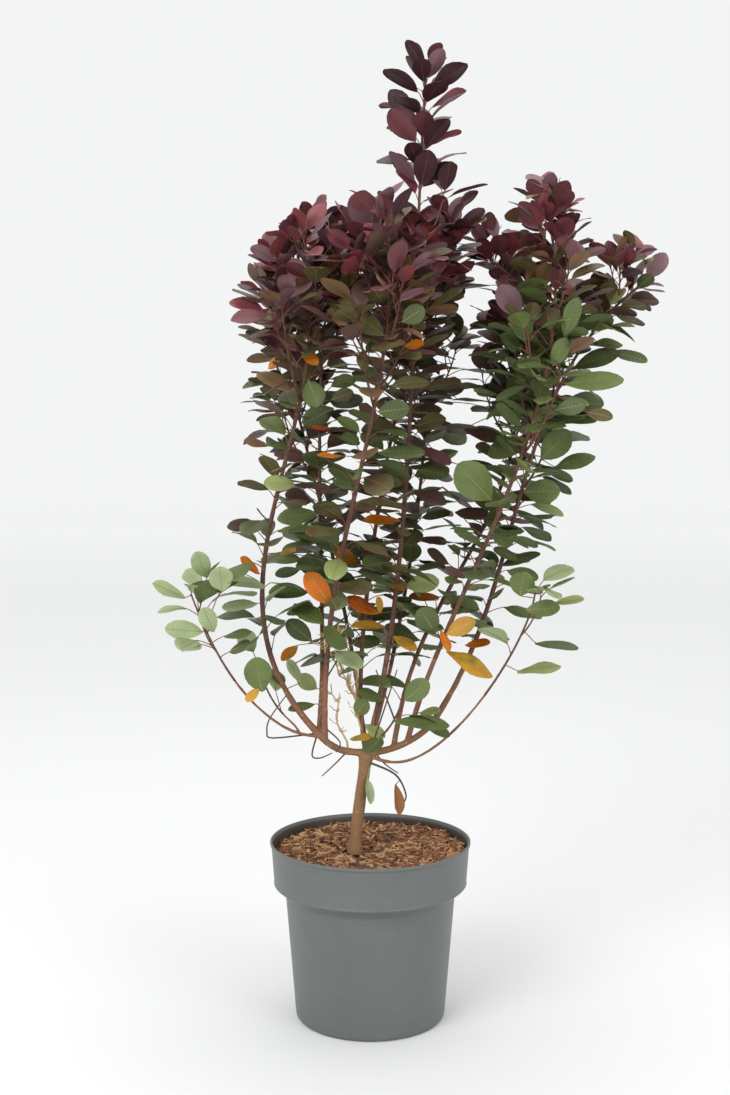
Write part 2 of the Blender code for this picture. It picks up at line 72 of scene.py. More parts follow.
# Pot
POT_HEIGHT = 0.274
POT_RIM_RADIUS = 0.1543
POT_COLLAR_RADIUS = 0.1522
POT_COLLAR_FOOT_RADIUS = 0.1482
POT_COLLAR_FOOT = 0.209
POT_BODY_RADIUS = 0.1307
POT_BODY_TOP = 0.193
POT_BASE_RADIUS = 0.1150
POT_WALL = 0.0028
POT_SIDES = 144
# The most that a rounding takes of the side next to its corner
ROUNDING_LIMIT = 0.45
# Corners of the wall, up its outside and down its inside: radius, height, size of the rounding
POT_PROFILE = (
    (0.0, 0.0, 0.0),
    (POT_BASE_RADIUS, 0.0, 0.006),
    (POT_BODY_RADIUS, POT_BODY_TOP, 0.004),
    (POT_COLLAR_FOOT_RADIUS - 0.0006, POT_COLLAR_FOOT - 0.0016, 0.0008),
    (POT_COLLAR_FOOT_RADIUS + 0.0007, POT_COLLAR_FOOT, 0.0008),
    (POT_COLLAR_FOOT_RADIUS, POT_COLLAR_FOOT + 0.0022, 0.0010),
    (POT_COLLAR_RADIUS, POT_HEIGHT - 0.0060, 0.0015),
    (POT_RIM_RADIUS, POT_HEIGHT - 0.0042, 0.0010),
    (POT_RIM_RADIUS, POT_HEIGHT, 0.0012),
    (POT_RIM_RADIUS - POT_WALL, POT_HEIGHT, 0.0010),
    (POT_COLLAR_RADIUS - POT_WALL, POT_HEIGHT - 0.0070, 0.002),
    (POT_COLLAR_FOOT_RADIUS - POT_WALL, POT_COLLAR_FOOT + 0.003, 0.002),
    (POT_BODY_RADIUS - POT_WALL, POT_BODY_TOP + 0.003, 0.003),
    (POT_BASE_RADIUS - POT_WALL, POT_WALL, 0.004),
    (0.0, POT_WALL, 0.0),
)
PLASTIC_GREYS = ((0.095, 0.103, 0.101), (0.128, 0.138, 0.134))
PLASTIC_DUST = (0.20, 0.20, 0.19)
# Painted shade, a dark brown, on the upper inner wall: from this radius inwards and this height upwards
INNER_WALL_SHADE = (0.052, 0.042, 0.033)
INNER_SHADE_RADIUS = 0.1503
INNER_SHADE_FOOT = 0.245

# Mulch: a bed that tilts, dips round the trunk and has bumps, and loose chips on it
MULCH_TOP = 0.254
MULCH_TILT = 0.0045
MULCH_TILT_WAY = (0.6, 0.8)
MULCH_DIP = 0.008
MULCH_DIP_REACH = 0.028
MULCH_BUMP = 0.0035
MULCH_BUMPS_PER_METRE = 28.0
MULCH_NOISE_LAYER = 3.1
MULCH_EDGE = POT_COLLAR_RADIUS - POT_WALL - 0.0012
MULCH_TAPER = 0.004
MULCH_FLOOR = 0.215
MULCH_RINGS = 26
MULCH_SIDES = 72
# The bed's browns: the mulch's own dark brown, darkened further as painted shade for the gaps between the
# chips
BED_BROWNS_AND_GAP_SHADE = ((0.018, 0.010, 0.007), (0.050, 0.026, 0.016))
CHIP_BROWNS = {
    "tan": ((0.29, 0.155, 0.070), (0.52, 0.320, 0.155)),
    "rust": ((0.14, 0.046, 0.020), (0.30, 0.112, 0.048)),
    "brown": ((0.060, 0.026, 0.012), (0.15, 0.064, 0.028)),
}
CHIP_SEED = 4
CHIP_COUNT = 4600
CHIP_SPREAD = 0.985
CHIP_LENGTH = (0.007, 0.026)
SHORT_CHIP = 0.75
CHIP_WIDTH_SHARE = (0.12, 0.30)
CHIP_THICKNESS = (0.0008, 0.0022)
CHIP_LIFT = (0.0002, 0.0035)
CHIP_PITCH_SPREAD = 0.28
CHIP_ROLL_SPREAD = 0.35
CHIP_BEND = 0.08
CHIP_JITTER = 0.12
CHIP_WIDTH_SPREAD = (0.8, 1.1)
CHIP_REACH = 0.3
CHIP_TUCK = 0.006
CHIP_PAST_EDGE = 0.0008
TRUNK_SPACE = 0.014
# Sections of a chip: where they lie along it, and their share of its width
CHIP_SECTIONS = ((-0.5, 0.55), (-0.22, 1.0), (0.2, 0.92), (0.5, 0.45))
RUST_SHARE = 0.30
RUST_SHARE_RIGHT = 0.25
TAN_SHARE = 0.36

# Trunk
TRUNK_FOOT = Vector((-0.024, 0.0, 0.252))
TRUNK_HEAD = Vector((-0.006, 0.0, 0.408))
TRUNK_HANDLE = 0.05
FOOT_LEAN = 0.002
HEAD_LEAN = 0.006
TRUNK_RADIUS = 0.0095
TRUNK_TAPER = 0.94
FLARE_RADIUS = 0.0125
HEAD_RADIUS = 0.0140
HEAD_SWELL = 0.75
SWELL_SHARE = 0.10
TRUNK_STEPS = 24
TRUNK_SIDES = 20
BOUGH_SIDES = 14
STEM_SIDES = 9
TWIG_SIDES = 6
STALK_SIDES = 5
# Length of a tube's pointed tip, in radii of its end
TUBE_TIP = 0.9

# Bark: the skin's voxels, its relief and its browns (dark, light, pale marks)
VOXEL = 0.0011
SKIN_SMOOTHINGS = 5
RELIEF_DEPTH = 0.00042
FIBRE_GRAIN = (420.0, 60.0)
KNOT_GRAIN = (70.0, 55.0)
RING_GRAIN = (60.0, 520.0)
RING_THRESHOLD = 0.25
FIBRE_LUMP = 0.45
KNOT_LUMP = 1.3
RING_LUMP = 0.9
BARK_STRETCH = (1.0, 1.0, 0.22)
BARKS = {
    "trunk_bark": ((0.150, 0.070, 0.026), (0.290, 0.160, 0.070), (0.40, 0.26, 0.13)),
    "young_bark": ((0.062, 0.025, 0.015), (0.155, 0.064, 0.036), (0.25, 0.155, 0.09)),
    "dead_bark": ((0.042, 0.022, 0.014), (0.098, 0.052, 0.034), (0.16, 0.10, 0.07)),
}
BROWNS_ABOVE_FORK = ((0.110, 0.044, 0.022), (0.280, 0.122, 0.062))

# Limbs and twigs
LIMB_SLIM = 0.86
CARRIER_PLACES = 200
FOOT_BEND_STEPS = 9
FOOT_SWELL_STEPS = 5
FOOT_SWELL = 0.22
BOUGH_STEPS = 24
LONG_STEM = 0.3
LONG_STEM_STEPS = 60
SHORT_STEM_STEPS = 20
BUD_SWELL = 0.13
BUD_SPACING = 2.4
TWIG_ROOT_RADIUS = 0.0022
TWIG_TIP_RADIUS = 0.0010
TWIG_RISE = math.radians(64.0)
# Where a twig turns upwards, as shares of its reach outwards and upwards
TWIG_BEND_OUT = 0.75
TWIG_BEND_UP = 0.38
HANDLE_SHARE = 0.67
TWIG_ROOT_SHARE = 0.85
TWIG_STEPS = 8
TWIG_CLEARANCE = 0.020
TWIG_SHORTENINGS = (1.0, 0.75, 0.5)
LEADER_TWIG_TOP = 1.17
TWIG_BEYOND_LEAF = 0.02
FINE_TWIG_LENGTH = 0.045
FINE_ROOT_RADIUS = 0.0014
FINE_TIP_RADIUS = 0.0008
FINE_TWIG_CARRIER = 0.05
FIRST_FINE_BEARING = 1.0
# Where fine twigs leave their twig: on the high twigs of a stem with few of them, and elsewhere
HIGH_TWIGS = 0.95
MANY_TWIGS = 8
CROWDED_FINE_SHARES = (0.42, 0.74)
FINE_SHARES = (0.6,)
SEGMENT_FLOOR = 1e-12

# A limb is a cubic Bezier curve (foot, two handles, tip) that another one carries. The share of
# it below the leaves is the bough, and the rest is the stem of a mass of foliage.
Limb = namedtuple("Limb", "carrier curve foot_radius tip_radius bare")
Twigs = namedtuple("Twigs", "count first_bearing low high low_length high_length")

ARMS = {
    "arm_left": Limb(
        "trunk",
        ((-0.020, 0.000, 0.412), (-0.045, -0.002, 0.408), (-0.068, -0.010, 0.426), (-0.085, -0.010, 0.447)),
        foot_radius=0.0066, tip_radius=0.0058, bare=1.0,
    ),
    "arm_right": Limb(
        "trunk",
        ((0.008, 0.001, 0.411), (0.034, 0.000, 0.413), (0.066, 0.000, 0.427), (0.092, 0.001, 0.451)),
        foot_radius=0.0066, tip_radius=0.0054, bare=1.0,
    ),
}

STEMS = {
    "left_outer": Limb(
        "arm_left",
        ((-0.088, -0.010, 0.451), (-0.277, -0.042, 0.668), (-0.036, -0.080, 0.931), (-0.100, -0.095, 1.125)),
        foot_radius=0.0052, tip_radius=0.0022, bare=0.17,
    ),
    "left_back": Limb(
        "arm_left",
        ((-0.075, 0.004, 0.444), (-0.069, 0.082, 0.697), (-0.100, 0.104, 0.966), (-0.054, 0.140, 1.195)),
        foot_radius=0.0042, tip_radius=0.0020, bare=0.14,
    ),
    "front_middle": Limb(
        "arm_left",
        ((-0.064, -0.014, 0.436), (-0.090, -0.041, 0.697), (0.042, -0.144, 0.931), (0.024, -0.150, 1.160)),
        foot_radius=0.0052, tip_radius=0.0024, bare=0.15,
    ),
    "centre": Limb(
        "trunk",
        ((-0.012, 0.004, 0.420), (-0.035, 0.008, 0.595), (0.051, 0.090, 1.055), (0.115, 0.035, 1.185)),
        foot_radius=0.0046, tip_radius=0.0020, bare=0.14,
    ),
    "leader": Limb(
        "trunk",
        ((0.000, -0.001, 0.421), (0.070, 0.000, 0.730), (0.060, 0.000, 1.090), (0.082, 0.000, 1.430)),
        foot_radius=0.0052, tip_radius=0.0020, bare=0.13,
    ),
    "right_back": Limb(
        "arm_right",
        ((0.033, 0.010, 0.425), (0.098, 0.110, 0.740), (0.313, 0.120, 0.740), (0.204, 0.135, 1.190)),
        foot_radius=0.0044, tip_radius=0.0020, bare=0.20,
    ),
    "right_middle": Limb(
        "arm_right",
        ((0.053, -0.008, 0.433), (0.132, -0.064, 0.708), (0.320, -0.100, 0.952), (0.254, -0.050, 1.235)),
        foot_radius=0.0046, tip_radius=0.0022, bare=0.17,
    ),
    "right_outer": Limb(
        "arm_right",
        ((0.095, 0.001, 0.454), (0.251, 0.094, 0.664), (0.204, 0.027, 0.969), (0.405, 0.000, 1.120)),
        foot_radius=0.0050, tip_radius=0.0020, bare=0.17,
    ),
    "back_left": Limb(
        "trunk",
        ((-0.012, 0.013, 0.411), (-0.020, 0.075, 0.620), (-0.120, 0.180, 0.900), (-0.150, 0.205, 1.080)),
        foot_radius=0.0042, tip_radius=0.0020, bare=0.20,
    ),
    "back_right": Limb(
        "trunk",
        ((0.001, 0.012, 0.411), (0.060, 0.110, 0.620), (0.110, 0.210, 0.900), (0.090, 0.215, 1.130)),
        foot_radius=0.0042, tip_radius=0.0020, bare=0.20,
    ),
    "low_right": Limb(
        "trunk",
        ((0.004, -0.010, 0.406), (0.096, -0.023, 0.349), (0.240, -0.075, 0.597), (0.240, -0.090, 0.670)),
        foot_radius=0.0030, tip_radius=0.0015, bare=0.60,
    ),
    "low_left": Limb(
        "arm_left",
        ((-0.080, -0.018, 0.432), (-0.186, -0.050, 0.466), (-0.235, -0.076, 0.583), (-0.262, -0.090, 0.665)),
        foot_radius=0.0028, tip_radius=0.0014, bare=0.55,
    ),
    "low_left_inner": Limb(
        "low_left",
        ((-0.105, -0.028, 0.448), (-0.125, -0.035, 0.472), (-0.150, -0.060, 0.490), (-0.166, -0.075, 0.560)),
        foot_radius=0.0022, tip_radius=0.0014, bare=0.45,
    ),
    "heart": Limb(
        "trunk",
        ((-0.005, -0.012, 0.415), (0.010, -0.040, 0.440), (0.040, -0.055, 0.460), (0.048, -0.060, 0.510)),
        foot_radius=0.0026, tip_radius=0.0014, bare=0.40,
    ),
}

TWIGS = {
    "left_outer": Twigs(9, 250, 0.66, 0.95, 0.150, 0.080),
    "left_back": Twigs(9, 130, 0.62, 0.94, 0.150, 0.070),
    "front_middle": Twigs(9, 250, 0.62, 0.94, 0.140, 0.070),
    "centre": Twigs(8, 20, 0.66, 0.94, 0.140, 0.060),
    "leader": Twigs(9, 300, 0.55, 0.97, 0.120, 0.035),
    "right_back": Twigs(7, 60, 0.55, 0.93, 0.130, 0.060),
    "right_middle": Twigs(9, 330, 0.45, 0.93, 0.140, 0.050),
    "right_outer": Twigs(8, 20, 0.40, 0.93, 0.120, 0.050),
    "back_left": Twigs(6, 150, 0.50, 0.92, 0.150, 0.060),
    "back_right": Twigs(6, 80, 0.50, 0.93, 0.150, 0.060),
    "low_right": Twigs(2, 340, 0.45, 0.75, 0.070, 0.040),
    "low_left": Twigs(3, 160, 0.25, 0.75, 0.070, 0.040),
}

# How leaves stand on stems and twigs: their spacing, the leaves of each tip's tuft, and the
# bare share at a twig's foot
STEM_PITCH = 0.0078
TWIG_PITCH = 0.0185
LOW_PITCH = 0.0420
LEADER_PITCH = 0.0060
TUFT_PITCH = 0.0040
TUFTS = {"stem": 8, "low_stem": 3, "leader": 12, "twig": 6, "low_twig": 4, "fine_twig": 5}
TWIG_BARE = 0.22
FINE_TWIG_BARE = 0.30
SPARSE_BELOW = 0.66
SPARSE_SHARE = 0.42
LEADER_BARE = (1.205, 1.235)
LEADER_GROWTH = 1.22
CROWN_TOP = 1.474
LEAF_CLEARANCE = 0.004
# The part of a leaf that is kept clear: its middle along it, and its half width
BODY_MIDDLE = 0.55
BODY_HALF = 0.28
LEAF_SEED = 11
# A leaf that doesn't fit is tried again smaller and turned
LEAF_SHRINKS = (1.0, 0.82, 0.66)
SHRINK_TURN = 2.0

# How a leaf lies and how large it is, from the low leaves to the high ones
LEAF_ZONE = (0.55, 1.20)
LOW_LEAF = 0.067
HIGH_LEAF = 0.049
LOW_STANCE = math.radians(82.0)
HIGH_STANCE = math.radians(56.0)
TUFT_STANCE = math.radians(20.0)
STANCE_SPREAD = 0.22
TIP_SPREAD = 0.12
LOW_TIP_SAG = 0.10
ROLL_SPREAD = 0.40
SIZE_SPREAD = (0.80, 1.14)
TUFT_SHRINK = 0.30
PETIOLE_SHARE = 0.34
PETIOLE_SPREAD = (0.6, 1.2)
LOW_PETIOLE_EXTRA = 0.6
NARROW_ABOVE = 0.6
HIGH_WIDTH = (0.50, 0.66)
LOW_WIDTH = (0.54, 0.70)
FOLD = (0.05, 0.30)
DROOP = (-0.05, 0.22)
EDGE_CURL = (0.0, 0.16)
EDGE_RIPPLE = (0.02, 0.09)
RIPPLE_PHASE = (0.0, 6.28)
RIPPLE_WAVES = 8.0

# Blade: rows along it with their share of its width, and columns across it
LEAF_ROWS = (0.0, 0.06, 0.17, 0.31, 0.46, 0.61, 0.76, 0.89, 0.97, 1.0)
LEAF_WIDTHS = (0.06, 0.24, 0.56, 0.82, 0.97, 1.0, 0.89, 0.62, 0.30, 0.0)
LEAF_COLUMNS = (-1.0, -0.68, -0.34, 0.0, 0.34, 0.68, 1.0)

# Veins: the midrib above and below the blade, and pairs of side veins (out, forward, half width)
MIDRIB_LIFTS = (0.00035, -0.00045)
MIDRIB_HALF = 0.00065
MIDRIB_TAPER = 0.72
VEIN_PAIRS = 7
FIRST_VEIN = 0.08
VEIN_REACH = 0.80
VEIN_LIFT = 0.0003
VEIN_SECTIONS = ((0.0, 0.0, 0.00020), (0.45, 0.045, 0.00016), (0.84, 0.115, 0.00010))

# Leaf stalks
STALK_ROOT_RADIUS = 0.00085
STALK_TIP_RADIUS = 0.00060
STALK_SINK = 0.05
STALK_ARCH = 0.03
STALK_DEPTH = 0.5
STALK_RISE = 0.7
STALK_STRAIGHT = 0.002
STALK_STEPS = 5
STALK_COLOUR = (0.20, 0.065, 0.045)

# The crown's left and right reach at heights
CROWN_REACH = (
    (0.40, -0.16, 0.16),
    (0.46, -0.21, 0.20),
    (0.52, -0.255, 0.27),
    (0.58, -0.315, 0.325),
    (0.66, -0.332, 0.325),
    (0.72, -0.285, 0.300),
    (0.78, -0.200, 0.315),
    (0.90, -0.200, 0.372),
    (1.00, -0.205, 0.400),
    (1.10, -0.212, 0.440),
    (1.16, -0.195, 0.458),
    (1.20, -0.155, 0.415),
    (1.24, -0.105, 0.330),
    (1.28, -0.040, 0.300),
    (1.32, -0.012, 0.155),
    (1.42, 0.000, 0.155),
    (1.49, 0.020, 0.130),
)

# Base colours of leaves, the colour of their veins and the group that sets their gloss
TINTS = {
    "wine_dark": ((0.122, 0.034, 0.040), "rose", "wine_leaves"),
    "wine_black": ((0.046, 0.014, 0.019), "rose", "wine_leaves"),
    "wine_red": ((0.215, 0.045, 0.050), "rose", "wine_leaves"),
    "plum": ((0.165, 0.084, 0.098), "rose", "wine_leaves"),
    "brown": ((0.100, 0.056, 0.042), "rose", "wine_leaves"),
    "bronze": ((0.180, 0.092, 0.040), "rose", "wine_leaves"),
    "olive": ((0.104, 0.090, 0.034), "pale", "green_leaves"),
    "deep_green": ((0.078, 0.100, 0.035), "pale", "green_leaves"),
    "mid_green": ((0.112, 0.150, 0.044), "pale", "green_leaves"),
    "pale_green": ((0.250, 0.290, 0.105), "pale", "green_leaves"),
    "grey_green": ((0.290, 0.350, 0.180), "pale", "green_leaves"),
    "gold": ((0.470, 0.235, 0.020), "straw", "green_leaves"),
    "orange": ((0.600, 0.135, 0.003), "straw", "green_leaves"),
    "scarlet": ((0.520, 0.075, 0.010), "straw", "green_leaves"),
    "withered": ((0.260, 0.110, 0.035), "straw", "green_leaves"),
}
PATCHES = {
    "gold": (0.180, 0.170, 0.022),
    "orange": (0.400, 0.200, 0.010),
    "scarlet": (0.580, 0.170, 0.012),
    "olive": (0.110, 0.050, 0.032),
    "bronze": (0.090, 0.090, 0.032),
    "wine_red": (0.100, 0.030, 0.046),
    "mid_green": (0.095, 0.122, 0.038),
}
VEIN_COLOURS = {
    "rose": (0.240, 0.060, 0.060),
    "pale": (0.230, 0.240, 0.090),
    "straw": (0.600, 0.340, 0.070),
}
LEAF_GLOSS = {"wine_leaves": 0.55, "green_leaves": 0.32}

# Which tints a leaf takes, by height: lowest height, then weights
WINE_MIX = (("wine_dark", 34), ("wine_red", 28), ("plum", 26), ("bronze", 6), ("wine_black", 6))
# The leader's top mostly takes near-black wine: the young leaves' own dark colour, and painted shade
# offsetting the light that the exposed top gets
LEADER_SHADED_MIX = (("wine_dark", 32), ("wine_black", 54), ("wine_red", 8), ("plum", 6))
TURNING_MIX = (("bronze", 24), ("brown", 26), ("plum", 8), ("wine_dark", 8), ("olive", 34))
OLIVE_MIX = (("olive", 40), ("deep_green", 24), ("brown", 20), ("mid_green", 10), ("bronze", 6))
LOW_MIX = (("deep_green", 24), ("mid_green", 42), ("olive", 14), ("pale_green", 12), ("grey_green", 8))
GREEN_MIX = (("mid_green", 58), ("deep_green", 30), ("pale_green", 12))
GREY_MIX = (("grey_green", 70), ("mid_green", 22), ("pale_green", 8))
TINT_SPREAD = 0.035
ZONES = {
    "inner": ((1.10, WINE_MIX), (1.00, TURNING_MIX), (0.72, OLIVE_MIX), (0.0, LOW_MIX)),
    "leader": (
        (1.20, LEADER_SHADED_MIX),
        (1.08, WINE_MIX),
        (0.96, TURNING_MIX),
        (0.70, OLIVE_MIX),
        (0.0, LOW_MIX),
    ),
    "right": ((1.13, WINE_MIX), (1.06, TURNING_MIX), (0.0, GREEN_MIX)),
    "low": ((0.0, GREY_MIX),),
    "heart": ((0.0, GREEN_MIX),),
}
STEM_ZONES = {
    "leader": "leader",
    "right_middle": "right",
    "right_outer": "right",
    "low_left": "low",
    "low_right": "low",
    "low_left_inner": "low",
    "heart": "heart",
}

# Single leaves that catch the eye: the tint, the pixels of the leaf's root and tip, and its width
PICKED_LEAVES = (
    ("orange", 331, 604, 306, 573, 21),
    ("olive", 337, 610, 332, 598, 10),
    ("orange", 357, 563, 334, 549, 13),
    ("scarlet", 379, 613, 346, 597, 13),
    ("gold", 381, 613, 378, 597, 7),
    ("orange", 259, 574, 241, 557, 9),
    ("gold", 279, 553, 296, 549, 6),
    ("orange", 400, 521, 364, 519, 9),
    ("orange", 439, 597, 409, 596, 8),
    ("gold", 446, 634, 475, 620, 17),
    ("orange", 441, 630, 450, 651, 9),
    ("orange", 465, 645, 490, 641, 8),
    ("gold", 447, 650, 494, 675, 11),
    ("gold", 394, 636, 417, 649, 9),
    ("gold", 385, 626, 352, 624, 7),
    ("orange", 298, 645, 281, 660, 8),
    ("gold", 259, 688, 246, 701, 8),
    ("gold", 350, 739, 371, 736, 6),
    ("scarlet", 331, 428, 312, 426, 5),
    ("orange", 342, 456, 317, 454, 5),
    ("orange", 404, 346, 424, 343, 9),
    ("orange", 268, 369, 279, 358, 8),
    ("orange", 302, 352, 318, 364, 9),
    ("withered", 384, 584, 406, 588, 6),
    ("mid_green", 491, 500, 458, 464, 35),
    ("mid_green", 523, 492, 560, 491, 25),
    ("mid_green", 541, 459, 570, 431, 27),
    ("mid_green", 554, 467, 595, 455, 15),
    ("deep_green", 555, 410, 586, 404, 17),
    ("mid_green", 566, 384, 624, 377, 20),
    ("deep_green", 573, 368, 620, 350, 18),
    ("olive", 586, 412, 613, 417, 13),
    ("deep_green", 612, 352, 648, 360, 12),
    ("deep_green", 378, 412, 409, 408, 20),
    ("deep_green", 334, 408, 303, 424, 21),
    ("mid_green", 308, 380, 318, 406, 22),
    ("olive", 331, 400, 353, 392, 14),
    ("mid_green", 564, 336, 578, 298, 18),
    ("mid_green", 553, 366, 566, 338, 17),
    ("deep_green", 402, 322, 424, 308, 19),
    ("bronze", 424, 312, 458, 308, 12),
    ("pale_green", 295, 484, 264, 482, 16),
    ("mid_green", 318, 513, 277, 518, 17),
    ("mid_green", 410, 563, 411, 542, 21),
    ("deep_green", 436, 634, 420, 609, 22),
    ("mid_green", 520, 596, 524, 572, 24),
    ("mid_green", 526, 610, 560, 607, 17),
    ("pale_green", 555, 603, 584, 598, 8),
    ("deep_green", 535, 643, 579, 646, 6),
    ("pale_green", 517, 671, 561, 664, 8),
    ("mid_green", 262, 692, 255, 658, 26),
    ("grey_green", 203, 632, 165, 628, 19),
    ("grey_green", 222, 592, 220, 567, 22),
    ("grey_green", 207, 578, 196, 552, 18),
    ("grey_green", 185, 598, 153, 582, 12),
    ("grey_green", 214, 632, 203, 608, 17),
    ("grey_green", 257, 603, 222, 606, 10),
    ("deep_green", 224, 636, 251, 631, 8),
    ("deep_green", 229, 652, 250, 642, 10),
    ("deep_green", 312, 641, 287, 621, 18),
    ("mid_green", 404, 701, 428, 681, 20),
    ("mid_green", 394, 720, 450, 723, 9),
    ("pale_green", 365, 724, 385, 737, 11),
    ("mid_green", 356, 716, 366, 700, 14),
    ("mid_green", 384, 700, 359, 691, 11),
    ("pale_green", 419, 713, 440, 709, 7),
    ("pale_green", 317, 689, 298, 676, 15),
    ("grey_green", 302, 682, 288, 660, 9),
    ("mid_green", 315, 704, 288, 709, 7),
    ("mid_green", 350, 642, 380, 641, 13),
    ("deep_green", 420, 640, 386, 624, 13),
    ("deep_green", 410, 613, 371, 612, 11),
    ("olive", 392, 558, 360, 553, 9),
    ("brown", 420, 538, 447, 541, 8),
    ("brown", 449, 564, 428, 549, 10),
    ("brown", 467, 577, 445, 568, 9),
    ("brown", 455, 512, 490, 514, 13),
    ("olive", 422, 518, 450, 512, 9),
    ("brown", 464, 429, 497, 440, 10),
    ("deep_green", 417, 470, 449, 474, 13),
    ("deep_green", 378, 452, 425, 450, 14),
    ("bronze", 268, 446, 244, 440, 9),
    ("wine_dark", 419, 447, 452, 462, 10),
    ("deep_green", 300, 569, 275, 574, 10),
    ("deep_green", 520, 560, 494, 548, 10),
    ("deep_green", 500, 566, 540, 552, 9),
)
PICKED_WIDTH = (0.56, 0.95)
PICKED_ROOT_NEARER = 0.008
PICKED_TIP_NEARER = 0.022
# Fold and droop of a picked leaf
PICKED_SHAPE = (0.12, 0.05)
# A steep leaf's face is set by this way instead of upwards
STEEP = 0.7
STEEP_LEAF_UP = Vector((1.0, 0.0, 0.3))
# A picked leaf with these pixels round it stays free of leaves in front and a little behind
BOX_MARGIN = 4
BOX_DEPTH = 0.01
# Square pixels that a metre of depth counts for when the wood nearest to a pixel is looked for
DEPTH_WEIGHT = 900.0

# Dead bits: their routes as pixels, and their sizes
HOOKED_TWIG = ((390, 771), (400, 780), (406, 795), (403, 803), (395, 808))
HANGING_LEAVES = (("withered", 392, 784, 399, 815), ("grey_green", 366, 778, 368, 804))
STRAW_ROUTES = (
    ((334, 655), (325, 628)),
    ((340, 652), (343, 630)),
    ((350, 738), (331, 684)),
    ((352, 735), (349, 680)),
    ((346, 704), (329, 652)),
    ((348, 706), (338, 660)),
    ((343, 694), (346, 638)),
)
STUB_ROUTES = (
    ((398, 722), (376, 670)),
    ((409, 718), (424, 692)),
    ((340, 680), (338, 659)),
    ((286, 690), (268, 672)),
    ((347, 752), (335, 764), (322, 776)),
    ((313, 738), (312, 755), (320, 758), (332, 753)),
    ((312, 738), (273, 738), (267, 732), (270, 718), (288, 693)),
    ((374, 752), (385, 764), (398, 773)),
    ((370, 744), (384, 710), (397, 670)),
    ((343, 730), (340, 742), (336, 752)),
    ((380, 748), (375, 722), (383, 697)),
)
RED_STALK_ROUTES = (((528, 446), (534, 430)),)
DEAD_SEED = 23
HANGING_DEPTH = -0.012
HOOK_BELOW_FORK = 0.012
HOOK_RADIUS = 0.0018
HOOK_TAPER = 0.00004
HOOK_SIDES = 7
# Width, fold and droop of a hanging leaf
HANGING_SHAPE = (0.42, 0.55, -0.1)
HANGING_STALK_RADIUS = 0.0007
HANGING_GLOSS = 0.28
HANGING_LEAN = 2
HANGING_SWING = 0.004
HANGING_TURN = Vector((0.8, 0.0, 0.0))
STRAW_COLOUR = (0.50, 0.34, 0.16)
STRAW_RADIUS = 0.0018
STRAW_TAPER = 0.00012
STRAW_NEARER = 0.015
STRAW_HAIRS = 16
HAIR_LENGTH = (0.008, 0.020)
HAIR_RADIUS = 0.0008
HAIR_SPREAD = 0.5
HAIR_RISE = (0.1, 1.2)
HAIR_SIDES = 4
HAIRY_FROM = 2
HAIRY_POINTS = 5
STUB_RADIUS = 0.0015
STUB_TAPER = 0.0007
STUB_NEARER = 0.006
RED_STALK_COLOUR = (0.40, 0.08, 0.02)
RED_STALK_RADIUS = 0.0009
RED_STALK_TAPER = 0.00005
RED_STALK_NEARER = 0.02


# Arithmetic on a material's values
class Value:
    """A number in a material: arithmetic on it adds Math nodes."""

    def __init__(self, tree, socket):
        self.tree = tree
        self.socket = socket

    def join(self, operation, first, second):
        node = self.tree.nodes.new("ShaderNodeMath")
        node.operation = operation
        for index, item in enumerate((first, second)):
            if isinstance(item, Value):
                self.tree.links.new(item.socket, node.inputs[index])
            else:
                node.inputs[index].default_value = item
        return Value(self.tree, node.outputs[0])

    def __add__(self, other):
        return self.join("ADD", self, other)

    def __sub__(self, other):
        return self.join("SUBTRACT", self, other)

    def __rsub__(self, other):
        return self.join("SUBTRACT", other, self)

    def __mul__(self, other):
        return self.join("MULTIPLY", self, other)

    def __pow__(self, other):
        return self.join("POWER", self, other)

    __radd__ = __add__
    __rmul__ = __mul__

    def ramp(self, start, slope, top=1.0):
        """Nothing at the start, and from there rising by the slope to the top."""
        risen = self.join("MAXIMUM", (self - start) * slope, 0.0)
        return self.join("MINIMUM", risen, top)


